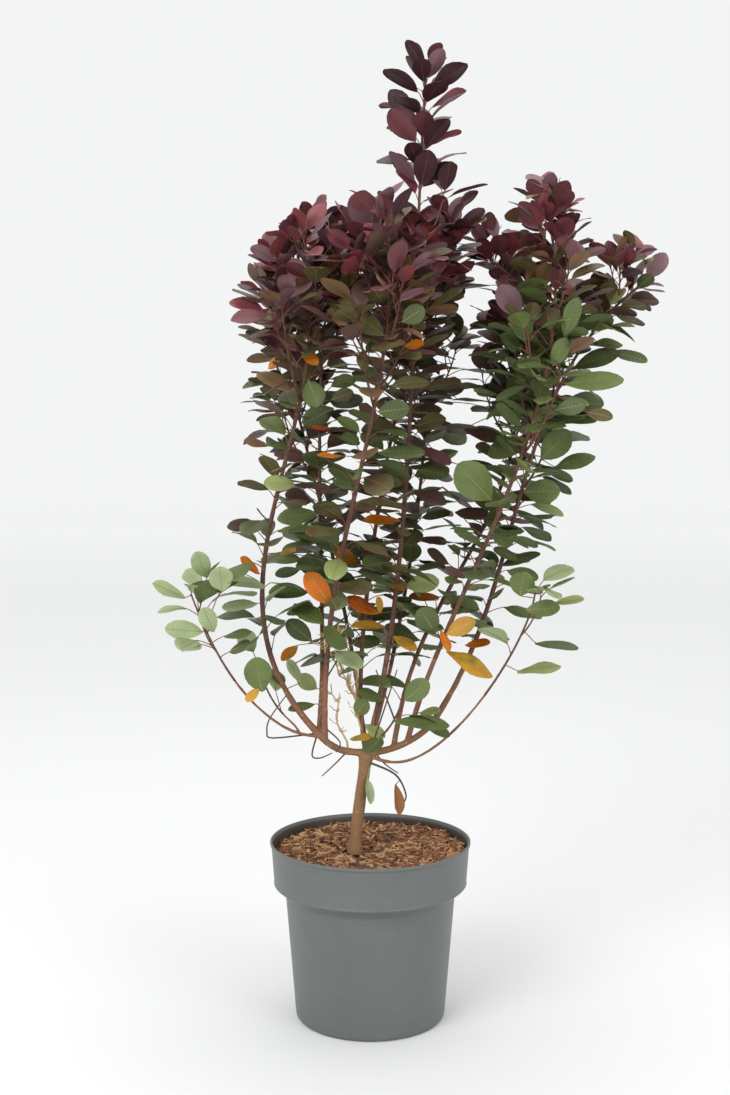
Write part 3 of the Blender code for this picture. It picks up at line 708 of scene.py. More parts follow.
class Paint:
    """A material with a Principled shader, made node by node."""

    def __init__(self, name):
        self.material = bpy.data.materials.new(name)
        self.material.use_nodes = True
        self.tree = self.material.node_tree
        self.shader = self.tree.nodes["Principled BSDF"]
        self.place = self.node("ShaderNodeTexCoord", {}, {}).outputs["Object"]

    def feed(self, socket, value):
        """Links a socket to what varies over the surface, or sets it."""
        if isinstance(value, Value):
            value = value.socket
        if isinstance(value, bpy.types.NodeSocket):
            self.tree.links.new(value, socket)
        else:
            socket.default_value = value

    def node(self, kind, settings, inputs):
        node = self.tree.nodes.new(kind)
        for key, value in settings.items():
            setattr(node, key, value)
        for key, value in inputs.items():
            self.feed(node.inputs[key], value)
        return node

    def axes(self):
        """The place on the object as three values."""
        parts = self.node("ShaderNodeSeparateXYZ", {}, {0: self.place})
        return [Value(self.tree, output) for output in parts.outputs]

    def noise(self, scale, detail, stretch=(1.0, 1.0, 1.0)):
        place = self.node("ShaderNodeMapping", {}, {"Vector": self.place, "Scale": stretch})
        inputs = {"Vector": place.outputs[0], "Scale": scale, "Detail": detail, "Roughness": 0.55}
        return Value(self.tree, self.node("ShaderNodeTexNoise", {}, inputs).outputs[0])

    def mix(self, factor, first, second):
        """A blend of two colours. The Mix node keeps those in its sockets 6 and 7."""
        inputs = {0: factor}
        for key, colour in ((6, first), (7, second)):
            inputs[key] = (*colour, 1.0) if isinstance(colour, tuple) else colour
        return self.node("ShaderNodeMix", {"data_type": "RGBA"}, inputs).outputs[2]

    def finish(self, base, roughness, height=None, depth=0.0, strength=0.0, specular=None):
        self.feed(self.shader.inputs["Base Color"], base)
        self.feed(self.shader.inputs["Roughness"], roughness)
        if specular is not None:
            self.shader.inputs["Specular IOR Level"].default_value = specular
        if height is not None:
            inputs = {"Height": height, "Distance": depth, "Strength": strength}
            bump = self.node("ShaderNodeBump", {}, inputs)
            self.tree.links.new(bump.outputs[0], self.shader.inputs["Normal"])
        return self.material


def shade(colour, factor):
    return tuple(min(channel * factor, 1.0) for channel in colour)


def plastic_material():
    """Scuffed grey plastic, with painted shade on the upper part of its inner wall."""
    paint = Paint("pot_plastic")
    cloud = paint.noise(scale=9.0, detail=4.0)
    grain = paint.noise(scale=900.0, detail=2.0)
    scuff = paint.noise(scale=60.0, detail=5.0, stretch=(1.0, 1.0, 4.0))
    base = paint.mix(cloud, *PLASTIC_GREYS)
    base = paint.mix(scuff.ramp(start=0.575, slope=2.0, top=0.10), base, PLASTIC_DUST)
    x, y, z = paint.axes()
    # Painted shade: the upper inner wall is darkened towards a brown
    inside = ((x * x + y * y) ** 0.5).ramp(start=INNER_SHADE_RADIUS, slope=-2500.0)
    base = paint.mix(inside * z.ramp(start=INNER_SHADE_FOOT, slope=400.0), base, INNER_WALL_SHADE)
    return paint.finish(base, cloud * 0.16 + 0.38, grain, depth=0.0001, strength=0.25)


def bark_material(name, browns_above_fork=None):
    """Fibrous bark of two browns with pale marks."""
    dark, light, mark = BARKS[name]
    paint = Paint(name)
    cloud = paint.noise(scale=45.0, detail=4.0, stretch=BARK_STRETCH)
    fibre = paint.noise(scale=420.0, detail=4.0, stretch=BARK_STRETCH)
    base = paint.mix(cloud, dark, light)
    if browns_above_fork is not None:
        rise = paint.axes()[2].ramp(start=TRUNK_HEAD.z, slope=22.0)
        base = paint.mix(rise, base, paint.mix(cloud, *browns_above_fork))
    spots = paint.noise(scale=150.0, detail=2.0, stretch=(1.0, 1.0, 1.6))
    base = paint.mix(spots.ramp(start=0.59, slope=5.0, top=0.7), base, mark)
    return paint.finish(base, fibre * 0.2 + 0.58, fibre, depth=0.0004, strength=0.7)


def mulch_material(name, browns):
    paint = Paint(name)
    cloud = paint.noise(scale=70.0, detail=4.0)
    fibre = paint.noise(scale=500.0, detail=4.0, stretch=(1.0, 0.35, 1.0))
    base = paint.mix(cloud, *browns)
    return paint.finish(base, 0.88, fibre, depth=0.0006, strength=0.8)


def leaf_material(name, colour, patch, specular):
    """A leaf's colour with cloudy shades of it and, on some tints, patches of another."""
    paint = Paint(name)
    cloud = paint.noise(scale=38.0, detail=3.0)
    fine = paint.noise(scale=260.0, detail=3.0)
    base = paint.mix(cloud, shade(colour, 0.70), shade(colour, 1.32))
    if patch is not None:
        patches = paint.noise(scale=34.0, detail=2.0)
        base = paint.mix(patches.ramp(start=0.49, slope=5.0, top=0.9), base, patch)
    roughness = fine * 0.16 + 0.44
    return paint.finish(base, roughness, fine, depth=0.0003, strength=0.45, specular=specular)


def vein_material(name, colour):
    paint = Paint(name)
    cloud = paint.noise(scale=60.0, detail=2.0)
    return paint.finish(paint.mix(cloud, shade(colour, 0.8), shade(colour, 1.15)), 0.55)


# Meshes
class Heap:
    """Corners and faces of many small shapes that become one mesh."""

    def __init__(self):
        self.corners = []
        self.faces = []

    def add(self, corners, faces):
        shift = len(self.corners)
        self.corners.extend(corners)
        self.faces.extend(tuple(index + shift for index in face) for face in faces)
        return self


def show(name, data):
    """An object of the scene that shows a mesh, a lamp or a camera."""
    item = bpy.data.objects.new(name, data)
    bpy.context.scene.collection.objects.link(item)
    return item


def mesh_of(name, heap, material):
    mesh = bpy.data.meshes.new(name)
    mesh.from_pydata([tuple(corner) for corner in heap.corners], [], heap.faces)
    mesh.materials.append(material)
    return mesh


def nodes_named(*starts):
    return [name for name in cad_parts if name.startswith(starts)]


def dress(piece, replaced=()):
    """Makes a piece ride on the frame, and hides the CAD nodes it stands for."""
    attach(piece, "root")
    if replaced:
        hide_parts(*replaced)


def build(name, heap, material, replaced=(), smooth=True):
    mesh = mesh_of(name, heap, material)
    if smooth:
        mesh.shade_smooth()
    dress(show(name, mesh), replaced)


def ring(radius, height, sides):
    """Corners of a level circle round the Z axis."""
    turns = [FULL_TURN * step / sides for step in range(sides)]
    return [(radius * math.cos(turn), radius * math.sin(turn), height) for turn in turns]


def band(low, high, sides, inward=False):
    """Faces between two rings of corners, each ring given by its first corner."""
    faces = []
    for step in range(sides):
        after = (step + 1) % sides
        face = (low + step, low + after, high + after, high + step)
        faces.append(face[:1] + face[:0:-1] if inward else face)
    return faces


def lathe(profile, sides):
    """Corners and faces of a profile of (radius, height) pairs turned about Z."""
    corners = [(0.0, 0.0, profile[0][1])]
    for radius, height in profile[1:-1]:
        corners += ring(radius, height, sides)
    top = len(corners)
    last = top - sides
    corners.append((0.0, 0.0, profile[-1][1]))
    faces = []
    for step in range(sides):
        after = (step + 1) % sides
        faces.append((0, 1 + after, 1 + step))
        faces.append((top, last + step, last + after))
    for low in range(1, last, sides):
        faces += band(low, low + sides, sides)
    return corners, faces


def rounded(profile, steps=4):
    """A profile as (radius, height) pairs, with each corner rounded by its own size."""
    result = [profile[0][:2]]
    for before, corner, after in zip(profile, profile[1:], profile[2:]):
        here = Vector(corner[:2])
        to_before = Vector(before[:2]) - here
        to_after = Vector(after[:2]) - here
        reach = min(corner[2], to_before.length * ROUNDING_LIMIT, to_after.length * ROUNDING_LIMIT)
        start = here + to_before.normalized() * reach
        end = here + to_after.normalized() * reach
        for step in range(steps + 1):
            part = step / steps
            point = start.lerp(here, part).lerp(here.lerp(end, part), part)
            result.append((point.x, point.y))
    return result + [profile[-1][:2]]


class Axis:
    """A tapering centre line: points at even steps, with a radius at each."""

    def __init__(self, points, radii):
        self.points = points
        self.radii = radii
        self.length = sum((b - a).length for a, b in zip(points, points[1:]))
        self.leafy_to = 0.0

    def place(self, share):
        """The point, direction and radius at a share of the way along."""
        spot = min(max(share, 0.0), 1.0) * (len(self.points) - 1)
        index = min(int(spot), len(self.points) - 2)
        part = spot - index
        point = self.points[index].lerp(self.points[index + 1], part)
        before = self.points[max(index - 1, 0)]
        after = self.points[min(index + 2, len(self.points) - 1)]
        radius = self.radii[index] * (1.0 - part) + self.radii[index + 1] * part
        return point, (after - before).normalized(), radius

    def cut(self, low, high, steps):
        places = [self.place(low + (high - low) * step / steps) for step in range(steps + 1)]
        return Axis([place[0] for place in places], [place[2] for place in places])

    def segments(self):
        return np.array([[tuple(a), tuple(b)] for a, b in zip(self.points, self.points[1:])])


def curve_axis(curve, foot_radius, tip_radius, steps=48):
    foot, low_handle, high_handle, tip = (Vector(point) for point in curve)
    points = interpolate_bezier(foot, low_handle, high_handle, tip, steps + 1)
    radii = [foot_radius + (tip_radius - foot_radius) * step / steps for step in range(steps + 1)]
    return Axis(points, radii)


def tapered(points, radius, taper):
    """An axis that loses the taper in radius from each point to the next."""
    return Axis(points, [radius - taper * step for step in range(len(points))])


def tube(axis, sides):
    """Corners and faces of a closed tapering tube with a pointed tip."""
    points = axis.points
    directions = [(points[1] - points[0]).normalized()]
    directions += [(after - before).normalized() for before, after in zip(points, points[2:])]
    directions.append((points[-1] - points[-2]).normalized())
    across = directions[0].orthogonal().normalized()
    corners = []
    for point, direction, radius in zip(points, directions, axis.radii):
        across = (across - direction * across.dot(direction)).normalized()
        beside = direction.cross(across)
        for step in range(sides):
            turn = FULL_TURN * step / sides
            corners.append(point + (across * math.cos(turn) + beside * math.sin(turn)) * radius)
    last = (len(points) - 1) * sides
    faces = [tuple(reversed(range(sides)))]
    for low in range(0, last, sides):
        faces += band(low, low + sides, sides)
    corners.append(points[-1] + directions[-1] * axis.radii[-1] * TUBE_TIP)
    faces += [(last + step, last + (step + 1) % sides, last + sides) for step in range(sides)]
    return corners, faces


def distances(samples, segments):
    """The distance of each sample to its nearest segment."""
    start = segments[:, 0]
    run = segments[:, 1] - start
    square = np.maximum((run * run).sum(axis=1), SEGMENT_FLOOR)
    offset = samples[:, None, :] - start[None, :, :]
    share = np.clip((offset * run[None, :, :]).sum(axis=2) / square[None, :], 0.0, 1.0)
    nearest = offset - share[:, :, None] * run[None, :, :]
    return np.sqrt((nearest * nearest).sum(axis=2)).min(axis=1)


# Places in the picture
def at_pixel(u, v, depth):
    """The point in the plane y = depth that the camera shows at a pixel."""
    ray = LOOK + Vector(((u - IMAGE_WIDTH / 2) / FOCAL_PIXELS, 0.0, 0.0))
    ray = ray - LOOK_UP * ((v - IMAGE_HEIGHT / 2) / FOCAL_PIXELS)
    return CAMERA_SPOT + ray * ((depth - CAMERA_SPOT.y) / ray.y)


def to_pixel(point):
    offset = Vector(point) - CAMERA_SPOT
    far = offset.dot(LOOK)
    u = IMAGE_WIDTH / 2 + FOCAL_PIXELS * offset.x / far
    v = IMAGE_HEIGHT / 2 - FOCAL_PIXELS * offset.dot(LOOK_UP) / far
    return u, v


def seen_points(points):
    """Points of wood, each with the pixel where the camera sees it."""
    return [(*to_pixel(point), point) for point in points]


def nearest_wood(u, v, wood_points):
    """The point of wood nearest to a pixel, rather in front than at the back."""

    def far_off(seen):
        return (seen[0] - u) ** 2 + (seen[1] - v) ** 2 + seen[2].y * DEPTH_WEIGHT

    return min(wood_points, key=far_off)[2]


# Pot and mulch
def make_pot():
    shell = Heap().add(*lathe(rounded(POT_PROFILE), POT_SIDES))
    build("pot_shell", shell, plastic_material(), ["pot"])


def mulch_height(x, y):
    """The mulch surface: it rises towards the back right and dips round the trunk."""
    away = math.hypot(x - TRUNK_FOOT.x, y - TRUNK_FOOT.y)
    rise = MULCH_TILT * (x * MULCH_TILT_WAY[0] + y * MULCH_TILT_WAY[1]) / POT_COLLAR_RADIUS
    dip = MULCH_DIP * math.exp(-((away / MULCH_DIP_REACH) ** 2))
    spot = Vector((x * MULCH_BUMPS_PER_METRE, y * MULCH_BUMPS_PER_METRE, MULCH_NOISE_LAYER))
    return MULCH_TOP + rise - dip + MULCH_BUMP * noise.noise(spot)


def make_mulch_bed():
    corners = [(0.0, 0.0, mulch_height(0.0, 0.0))]
    for index in range(1, MULCH_RINGS + 1):
        for x, y, _ in ring(MULCH_EDGE * index / MULCH_RINGS, 0.0, MULCH_SIDES):
            corners.append((x, y, mulch_height(x, y)))
    floor = len(corners)
    corners += ring(MULCH_EDGE - MULCH_TAPER, MULCH_FLOOR, MULCH_SIDES)
    faces = [(0, 1 + step, 1 + (step + 1) % MULCH_SIDES) for step in range(MULCH_SIDES)]
    for low in range(1, floor, MULCH_SIDES):
        faces += band(low, low + MULCH_SIDES, MULCH_SIDES, inward=True)
    faces.append(tuple(reversed(range(floor, floor + MULCH_SIDES))))
    bed = Heap().add(corners, faces)
    # The dark bed shows between the chips as painted shade in the gaps
    build("mulch_bed", bed, mulch_material("mulch_dark", BED_BROWNS_AND_GAP_SHADE), ["soil"])


def chip_corners(centre, length, width, thick, chance):
    """Four corners at each section of a bent splinter of bark that lies at random."""
    yaw = chance.uniform(0.0, math.pi)
    pitch = chance.gauss(0.0, CHIP_PITCH_SPREAD)
    roll = chance.gauss(0.0, CHIP_ROLL_SPREAD)
    level = math.cos(pitch)
    along = Vector((math.cos(yaw) * level, math.sin(yaw) * level, math.sin(pitch)))
    side = along.cross(UP).normalized()
    side = side * math.cos(roll) + side.cross(along) * math.sin(roll)
    up = side.cross(along).normalized()
    centre = centre + UP * chance.uniform(*CHIP_LIFT)
    corners = []
    for part, wide in CHIP_SECTIONS:
        bend = up * (length * CHIP_BEND * math.cos(part * 3.0))
        shift = side * (width * chance.uniform(-CHIP_JITTER, CHIP_JITTER))
        here = centre + along * (length * part) + bend + shift
        half = side * (width * 0.5 * wide * chance.uniform(*CHIP_WIDTH_SPREAD))
        lift = up * (thick * 0.5 * (0.6 + 0.4 * wide))
        corners += [here - half - lift, here + half - lift, here + half + lift, here - half + lift]
    return corners


def make_chips():
    """Bark chips strewn over the bed, more of the rust ones on the right."""
    chance = random.Random(CHIP_SEED)
    heaps = {name: Heap() for name in CHIP_BROWNS}
    faces = [(0, 1, 2, 3), (15, 14, 13, 12)]
    for low in (0, 4, 8):
        faces += band(low, low + 4, 4, inward=True)
    for _ in range(CHIP_COUNT):
        radius = MULCH_EDGE * math.sqrt(chance.random()) * CHIP_SPREAD
        turn = chance.uniform(0.0, FULL_TURN)
        x, y = radius * math.cos(turn), radius * math.sin(turn)
        length = chance.uniform(*CHIP_LENGTH) * (SHORT_CHIP if chance.random() < 0.5 else 1.0)
        width = length * chance.uniform(*CHIP_WIDTH_SHARE)
        thick = chance.uniform(*CHIP_THICKNESS)
        if math.hypot(x - TRUNK_FOOT.x, y - TRUNK_FOOT.y) < TRUNK_SPACE + length * CHIP_REACH:
            continue
        length = min(length, 2.0 * (MULCH_EDGE - radius) + CHIP_TUCK)
        centre = Vector((x, y, mulch_height(x, y)))
        corners = chip_corners(centre, length, width, thick, chance)
        rust = RUST_SHARE + RUST_SHARE_RIGHT * max(0.0, x / MULCH_EDGE)
        draw = chance.random()
        kind = "rust" if draw < rust else ("tan" if draw < rust + TAN_SHARE else "brown")
        if max(math.hypot(corner.x, corner.y) for corner in corners) <= MULCH_EDGE + CHIP_PAST_EDGE:
            heaps[kind].add(corners, faces)
    for name, browns in CHIP_BROWNS.items():
        material = mulch_material("mulch_" + name, browns)
        build("bark_chips_" + name, heaps[name], material, smooth=False)


# Limbs and twigs
def trunk_axis():
    """The trunk leans as it rises, flares at its foot and swells where the arms fork."""
    low_handle = TRUNK_FOOT + Vector((FOOT_LEAN, 0.0, TRUNK_HANDLE))
    high_handle = TRUNK_HEAD - Vector((HEAD_LEAN, 0.0, TRUNK_HANDLE))
    curve = (TRUNK_FOOT, low_handle, high_handle, TRUNK_HEAD)
    axis = curve_axis(curve, TRUNK_RADIUS, TRUNK_RADIUS * TRUNK_TAPER, TRUNK_STEPS)
    for index in range(TRUNK_STEPS + 1):
        share = index / TRUNK_STEPS
        flare = math.exp(-((share / SWELL_SHARE) ** 2))
        swell = math.exp(-(((1.0 - share) / SWELL_SHARE) ** 2))
        axis.radii[index] += (FLARE_RADIUS - TRUNK_RADIUS) * flare
        axis.radii[index] += (HEAD_RADIUS - TRUNK_RADIUS) * HEAD_SWELL * swell
    return axis


def limb_axis(limb, carrier):
    """A limb's axis, whose foot is bent to start on its carrier's centre line."""
    axis = curve_axis(limb.curve, limb.foot_radius * LIMB_SLIM, limb.tip_radius * LIMB_SLIM)
    foot = axis.points[0]
    on_carrier = [carrier.place(step / CARRIER_PLACES)[0] for step in range(CARRIER_PLACES + 1)]
    shift = min(on_carrier, key=lambda point: (point - foot).length) - foot
    for index in range(FOOT_BEND_STEPS):
        axis.points[index] = axis.points[index] + shift * (1.0 - index / FOOT_BEND_STEPS) ** 2
    for index in range(FOOT_SWELL_STEPS):
        axis.radii[index] *= 1.0 + FOOT_SWELL * (1.0 - index / FOOT_SWELL_STEPS)
    return axis


def grow_limbs():
    """The trunk, arms and boughs by name, and each stem's bough with its leafy length."""
    limbs = {"trunk": trunk_axis()}
    stems = {}
    for name, limb in {**ARMS, **STEMS}.items():
        axis = limb_axis(limb, limbs[limb.carrier])
        limbs[name] = axis.cut(0.0, limb.bare, BOUGH_STEPS) if limb.bare < 1.0 else axis
        if name in STEMS:
            steps = LONG_STEM_STEPS if axis.length > LONG_STEM else SHORT_STEM_STEPS
            stems[name] = (limbs[name], axis.cut(limb.bare, 1.0, steps))
    return limbs, stems


def twig_axis(carrier, share, bearing, length, root_radius, tip_radius):
    """A side twig that leaves its carrier sideways and then turns upwards."""
    start, _, radius = carrier.place(share)
    outward = Vector((math.cos(bearing), math.sin(bearing), 0.0))
    level = outward * (length * math.cos(TWIG_RISE))
    rise = Vector((0.0, 0.0, length * math.sin(TWIG_RISE)))
    bend = start + level * TWIG_BEND_OUT + rise * TWIG_BEND_UP
    tip = start + level + rise
    curve = (start, start.lerp(bend, HANDLE_SHARE), bend.lerp(tip, 1.0 - HANDLE_SHARE), tip)
    return curve_axis(curve, min(root_radius, radius * TWIG_ROOT_SHARE), tip_radius, TWIG_STEPS)


def grow_twigs(stems):
    """Every stem's side twigs, shortened or left out where they crowd another one."""
    grown = {name: [] for name in stems}
    for name, plan in TWIGS.items():
        others = [stem.segments() for other, (_, stem) in stems.items() if other != name]
        others += [twig.segments() for other in grown if other != name for twig in grown[other]]
        for index in range(plan.count):
            part = index / (plan.count - 1)
            share = plan.low + (plan.high - plan.low) * part
            length = plan.low_length + (plan.high_length - plan.low_length) * part
            bearing = math.radians(plan.first_bearing) + index * GOLDEN_TURN
            own = [twig.segments() for twig in grown[name]]
            for shorter in TWIG_SHORTENINGS:
                radii = (TWIG_ROOT_RADIUS, TWIG_TIP_RADIUS)
                twig = twig_axis(stems[name][1], share, bearing, length * shorter, *radii)
                samples = np.array([tuple(point) for point in twig.points[::TWIG_STEPS // 2]])
                free = distances(samples, np.concatenate(others)).min() > TWIG_CLEARANCE
                if own:
                    near = distances(samples, np.concatenate(own)).min()
                    free = free and near > TWIG_CLEARANCE / 2
                if free:
                    grown[name].append(twig)
                    break
    grown["leader"] = [twig for twig in grown["leader"] if twig.points[0].z < LEADER_TWIG_TOP]
    return grown


def grow_fine_twigs(twigs):
    """The twigs of the twigs, and each one's carrier and its place on that."""
    fine_twigs = {name: [] for name in twigs}
    carried = []
    for name, members in twigs.items():
        bearing = FIRST_FINE_BEARING
        for twig in members:
            if twig.length < FINE_TWIG_CARRIER or STEM_ZONES.get(name) in ("low", "heart", "leader"):
                continue
            high = twig.points[0].z > HIGH_TWIGS and len(members) < MANY_TWIGS
            for share in CROWDED_FINE_SHARES if high else FINE_SHARES:
                bearing += GOLDEN_TURN
                radii = (FINE_ROOT_RADIUS, FINE_TIP_RADIUS)
                fine = twig_axis(twig, share, bearing, FINE_TWIG_LENGTH, *radii)
                if inside_crown(fine.points[-1]):
                    fine_twigs[name].append(fine)
                    carried.append((twig, fine, share))
    return fine_twigs, carried


def prune(twigs, fine_twigs, carried):
    """Cuts each twig a little past its last leaf or fine twig, and drops those with neither."""
    for twig, fine, share in carried:
        if fine.leafy_to > 0.0:
            twig.leafy_to = max(twig.leafy_to, share)
    for group in (twigs, fine_twigs):
        for name, members in group.items():
            leafy = [twig for twig in members if twig.leafy_to > 0.0]
            ends = [min(twig.leafy_to + TWIG_BEYOND_LEAF, 1.0) for twig in leafy]
            group[name] = [twig.cut(0.0, end, TWIG_STEPS) for twig, end in zip(leafy, ends)]


# Wood
def grain(place, scale):
    """Noise at a place, by its scale across and along the wood."""
    return noise.noise(Vector((place.x * scale[0], place.y * scale[0], place.z * scale[1])))


def bark_relief(mesh):
    """Moves a mesh's corners in and out along fibres and low rings, as on young bark."""
    normals = [corner.normal.copy() for corner in mesh.vertices]
    for corner, normal in zip(mesh.vertices, normals):
        place = corner.co
        rings = max(0.0, grain(place, RING_GRAIN) - RING_THRESHOLD)
        lump = grain(place, FIBRE_GRAIN) * FIBRE_LUMP + grain(place, KNOT_GRAIN) * KNOT_LUMP
        lump += rings * RING_LUMP
        corner.co = place + normal * (RELIEF_DEPTH * lump)


def make_trunk_and_boughs(limbs):
    """Trunk, arms and boughs fused into one skin."""
    tubes = Heap()
    for name, axis in limbs.items():
        tubes.add(*tube(axis, TRUNK_SIDES if name == "trunk" else BOUGH_SIDES))
    bark = bark_material("trunk_bark", BROWNS_ABOVE_FORK)
    raw = show("wood_raw", mesh_of("wood_raw", tubes, bark))
    remesh = raw.modifiers.new("skin", "REMESH")
    remesh.mode = "VOXEL"
    remesh.voxel_size = VOXEL
    soften = raw.modifiers.new("soften", "SMOOTH")
    soften.factor = 0.5
    soften.iterations = SKIN_SMOOTHINGS
    graph = bpy.context.evaluated_depsgraph_get()
    skin = bpy.data.meshes.new_from_object(raw.evaluated_get(graph))
    bpy.data.objects.remove(raw, do_unlink=True)
    skin.name = "trunk_and_boughs"
    skin.materials.clear()
    skin.materials.append(bark)
    bark_relief(skin)
    skin.shade_smooth()
    piece = show("trunk_and_boughs", skin)
    dress(piece, nodes_named("trunk", "arm_", "bough_"))


def make_stems_and_twigs(stems, twigs, fine_twigs):
    """The knotty stems that grow on from their boughs, with their twigs."""
    young = Heap()
    for bough, stem in stems.values():
        points = bough.points[-3:-1] + stem.points
        radii = bough.radii[-3:-1] + stem.radii
        buds = [max(0.0, math.sin(index * BUD_SPACING)) ** 3 for index in range(len(radii))]
        knotty = [radius * (0.985 + BUD_SWELL * bud) for radius, bud in zip(radii, buds)]
        young.add(*tube(Axis(points, knotty), STEM_SIDES))
    for group in (twigs, fine_twigs):
        for members in group.values():
            for twig in members:
                young.add(*tube(twig, TWIG_SIDES))
    bark = bark_material("young_bark")
    build("stems_and_twigs", young, bark, nodes_named("foliage_"))


# Shapes of leaves
Leaf = namedtuple("Leaf", "stalk root along face length width fold droop curl ripple phase tint")


def make_leaf(stalk, root, along, face, length, width, fold, droop, tint, chance):
    """A leaf whose edge curls and ripples at random."""
    curl = chance.uniform(*EDGE_CURL)
    ripple = chance.uniform(*EDGE_RIPPLE)
    phase = chance.uniform(*RIPPLE_PHASE)
    return Leaf(stalk, root, along, face, length, width, fold, droop, curl, ripple, phase, tint)


def blade_template():
    """Places on a blade as (across, along, step aside, step forward, lift), and faces."""
    wide = len(LEAF_COLUMNS)
    places = []
    for row in LEAF_ROWS[:-1]:
        places += [(column, row, 0.0, 0.0, 0.0) for column in LEAF_COLUMNS]
    tip = len(places)
    places.append((0.0, 1.0, 0.0, 0.0, 0.0))
    faces = []
    for row in range(len(LEAF_ROWS) - 2):
        for low in range(row * wide, row * wide + wide - 1):
            faces.append((low, low + 1, low + wide + 1, low + wide))
    faces += [(low, low + 1, tip) for low in range(tip - wide, tip - 1)]
    return np.array(places), faces


def vein_template():
    """A midrib on both sides of the blade and pairs of side veins on top of it."""
    places = []
    faces = []
    for lift in MIDRIB_LIFTS:
        start = len(places)
        for row in LEAF_ROWS[:-1]:
            half = MIDRIB_HALF * (1.0 - MIDRIB_TAPER * row)
            places += [(0.0, row, -half, 0.0, lift), (0.0, row, half, 0.0, lift)]
        for low in range(start, len(places) - 2, 2):
            face = (low, low + 1, low + 3, low + 2)
            faces.append(face if lift > 0.0 else tuple(reversed(face)))
    for pair in range(VEIN_PAIRS):
        foot = FIRST_VEIN + VEIN_REACH * pair / VEIN_PAIRS
        for side in (-1.0, 1.0):
            start = len(places)
            for out, forward, half in VEIN_SECTIONS:
                for step in (-half, half):
                    places.append((side * out, foot + forward, 0.0, step, VEIN_LIFT))
            for low in range(start, len(places) - 2, 2):
                face = (low, low + 2, low + 3, low + 1)
                faces.append(face if side > 0.0 else tuple(reversed(face)))
    return np.array(places), faces


BLADE_PLACES, BLADE_FACES = blade_template()
VEIN_PLACES, VEIN_FACES = vein_template()


def shaped(places, leaf):
    """World points of a template's places on a leaf."""
    across, along, aside, forward, lift = places.T
    half = leaf.length * leaf.width * 0.5
    x = across * half * np.interp(along, LEAF_ROWS, LEAF_WIDTHS) + aside
    y = along * leaf.length + forward
    z = leaf.fold * np.abs(x) - leaf.droop * leaf.length * along**2
    z = z - leaf.curl * half * np.abs(across) ** 3
    wave = np.sin(leaf.phase + along * RIPPLE_WAVES + across)
    z = z + leaf.ripple * half * wave * across**2 + lift
    side = leaf.along.cross(leaf.face)
    root, side, ahead, face = (np.array(tuple(v)) for v in (leaf.root, side, leaf.along, leaf.face))
    return (root + x[:, None] * side + y[:, None] * ahead + z[:, None] * face).tolist()


# Places of leaves
def inside_crown(point):
    """Whether a point shows inside the crown's reach, seen from the camera."""
    flat = at_pixel(*to_pixel(point), 0.0)
    heights, lefts, rights = zip(*CROWN_REACH)
    return np.interp(flat.z, heights, lefts) <= flat.x <= np.interp(flat.z, heights, rights)


def pick_tint(stem_name, height, chance):
    zone = ZONES[STEM_ZONES.get(stem_name, "inner")]
    height += chance.gauss(0.0, TINT_SPREAD)
    mix = next(weights for lowest, weights in zone if height >= lowest or lowest == 0.0)
    draw = chance.uniform(0.0, sum(weight for _, weight in mix))
    for tint, weight in mix:
        draw -= weight
        if draw <= 0.0:
            return tint
    return mix[-1][0]


def plan_leaf(axis, share, turn, chance, stem_name, tuft):
    """One leaf: low ones stand off level, and high ones and those of a tuft stand up."""
    point, direction, radius = axis.place(share)
    across = direction.orthogonal().normalized()
    outward = across * math.cos(turn) + direction.cross(across) * math.sin(turn)
    height = min(max((point.z - LEAF_ZONE[0]) / (LEAF_ZONE[1] - LEAF_ZONE[0]), 0.0), 1.0)
    stance = LOW_STANCE + (HIGH_STANCE - LOW_STANCE) * height**2 - tuft * TUFT_STANCE
    stance += chance.uniform(-STANCE_SPREAD, STANCE_SPREAD)
    along = direction * math.cos(stance) + outward * math.sin(stance)
    along.z += chance.gauss(0.0, TIP_SPREAD) - (1.0 - height) * LOW_TIP_SAG
    along.normalize()
    face = direction.lerp(UP, 1.0 - height**2)
    face = (face - along * face.dot(along)).normalized()
    roll = chance.gauss(0.0, ROLL_SPREAD)
    face = face * math.cos(roll) + along.cross(face) * math.sin(roll)
    length = (LOW_LEAF + (HIGH_LEAF - LOW_LEAF) * height) * chance.uniform(*SIZE_SPREAD)
    length *= 1.0 - TUFT_SHRINK * tuft * chance.random()
    if stem_name == "leader" and point.z > LEADER_BARE[0]:
        length *= LEADER_GROWTH
    stalk = point + outward * radius * STALK_DEPTH
    stalk_way = (along + direction * STALK_RISE).normalized()
    shortest, longest = PETIOLE_SPREAD
    petiole = PETIOLE_SHARE * chance.uniform(shortest, longest + LOW_PETIOLE_EXTRA * (1.0 - height))
    root = stalk + stalk_way * (length * petiole)
    tint = pick_tint(stem_name, root.z, chance)
    width = chance.uniform(*(HIGH_WIDTH if height > NARROW_ABOVE else LOW_WIDTH))
    fold = chance.uniform(*FOLD)
    droop = chance.uniform(*DROOP)
    return make_leaf(stalk, root, along, face, length, width, fold, droop, tint, chance)


Shoot = namedtuple("Shoot", "stem_name axis bare pitch tuft")


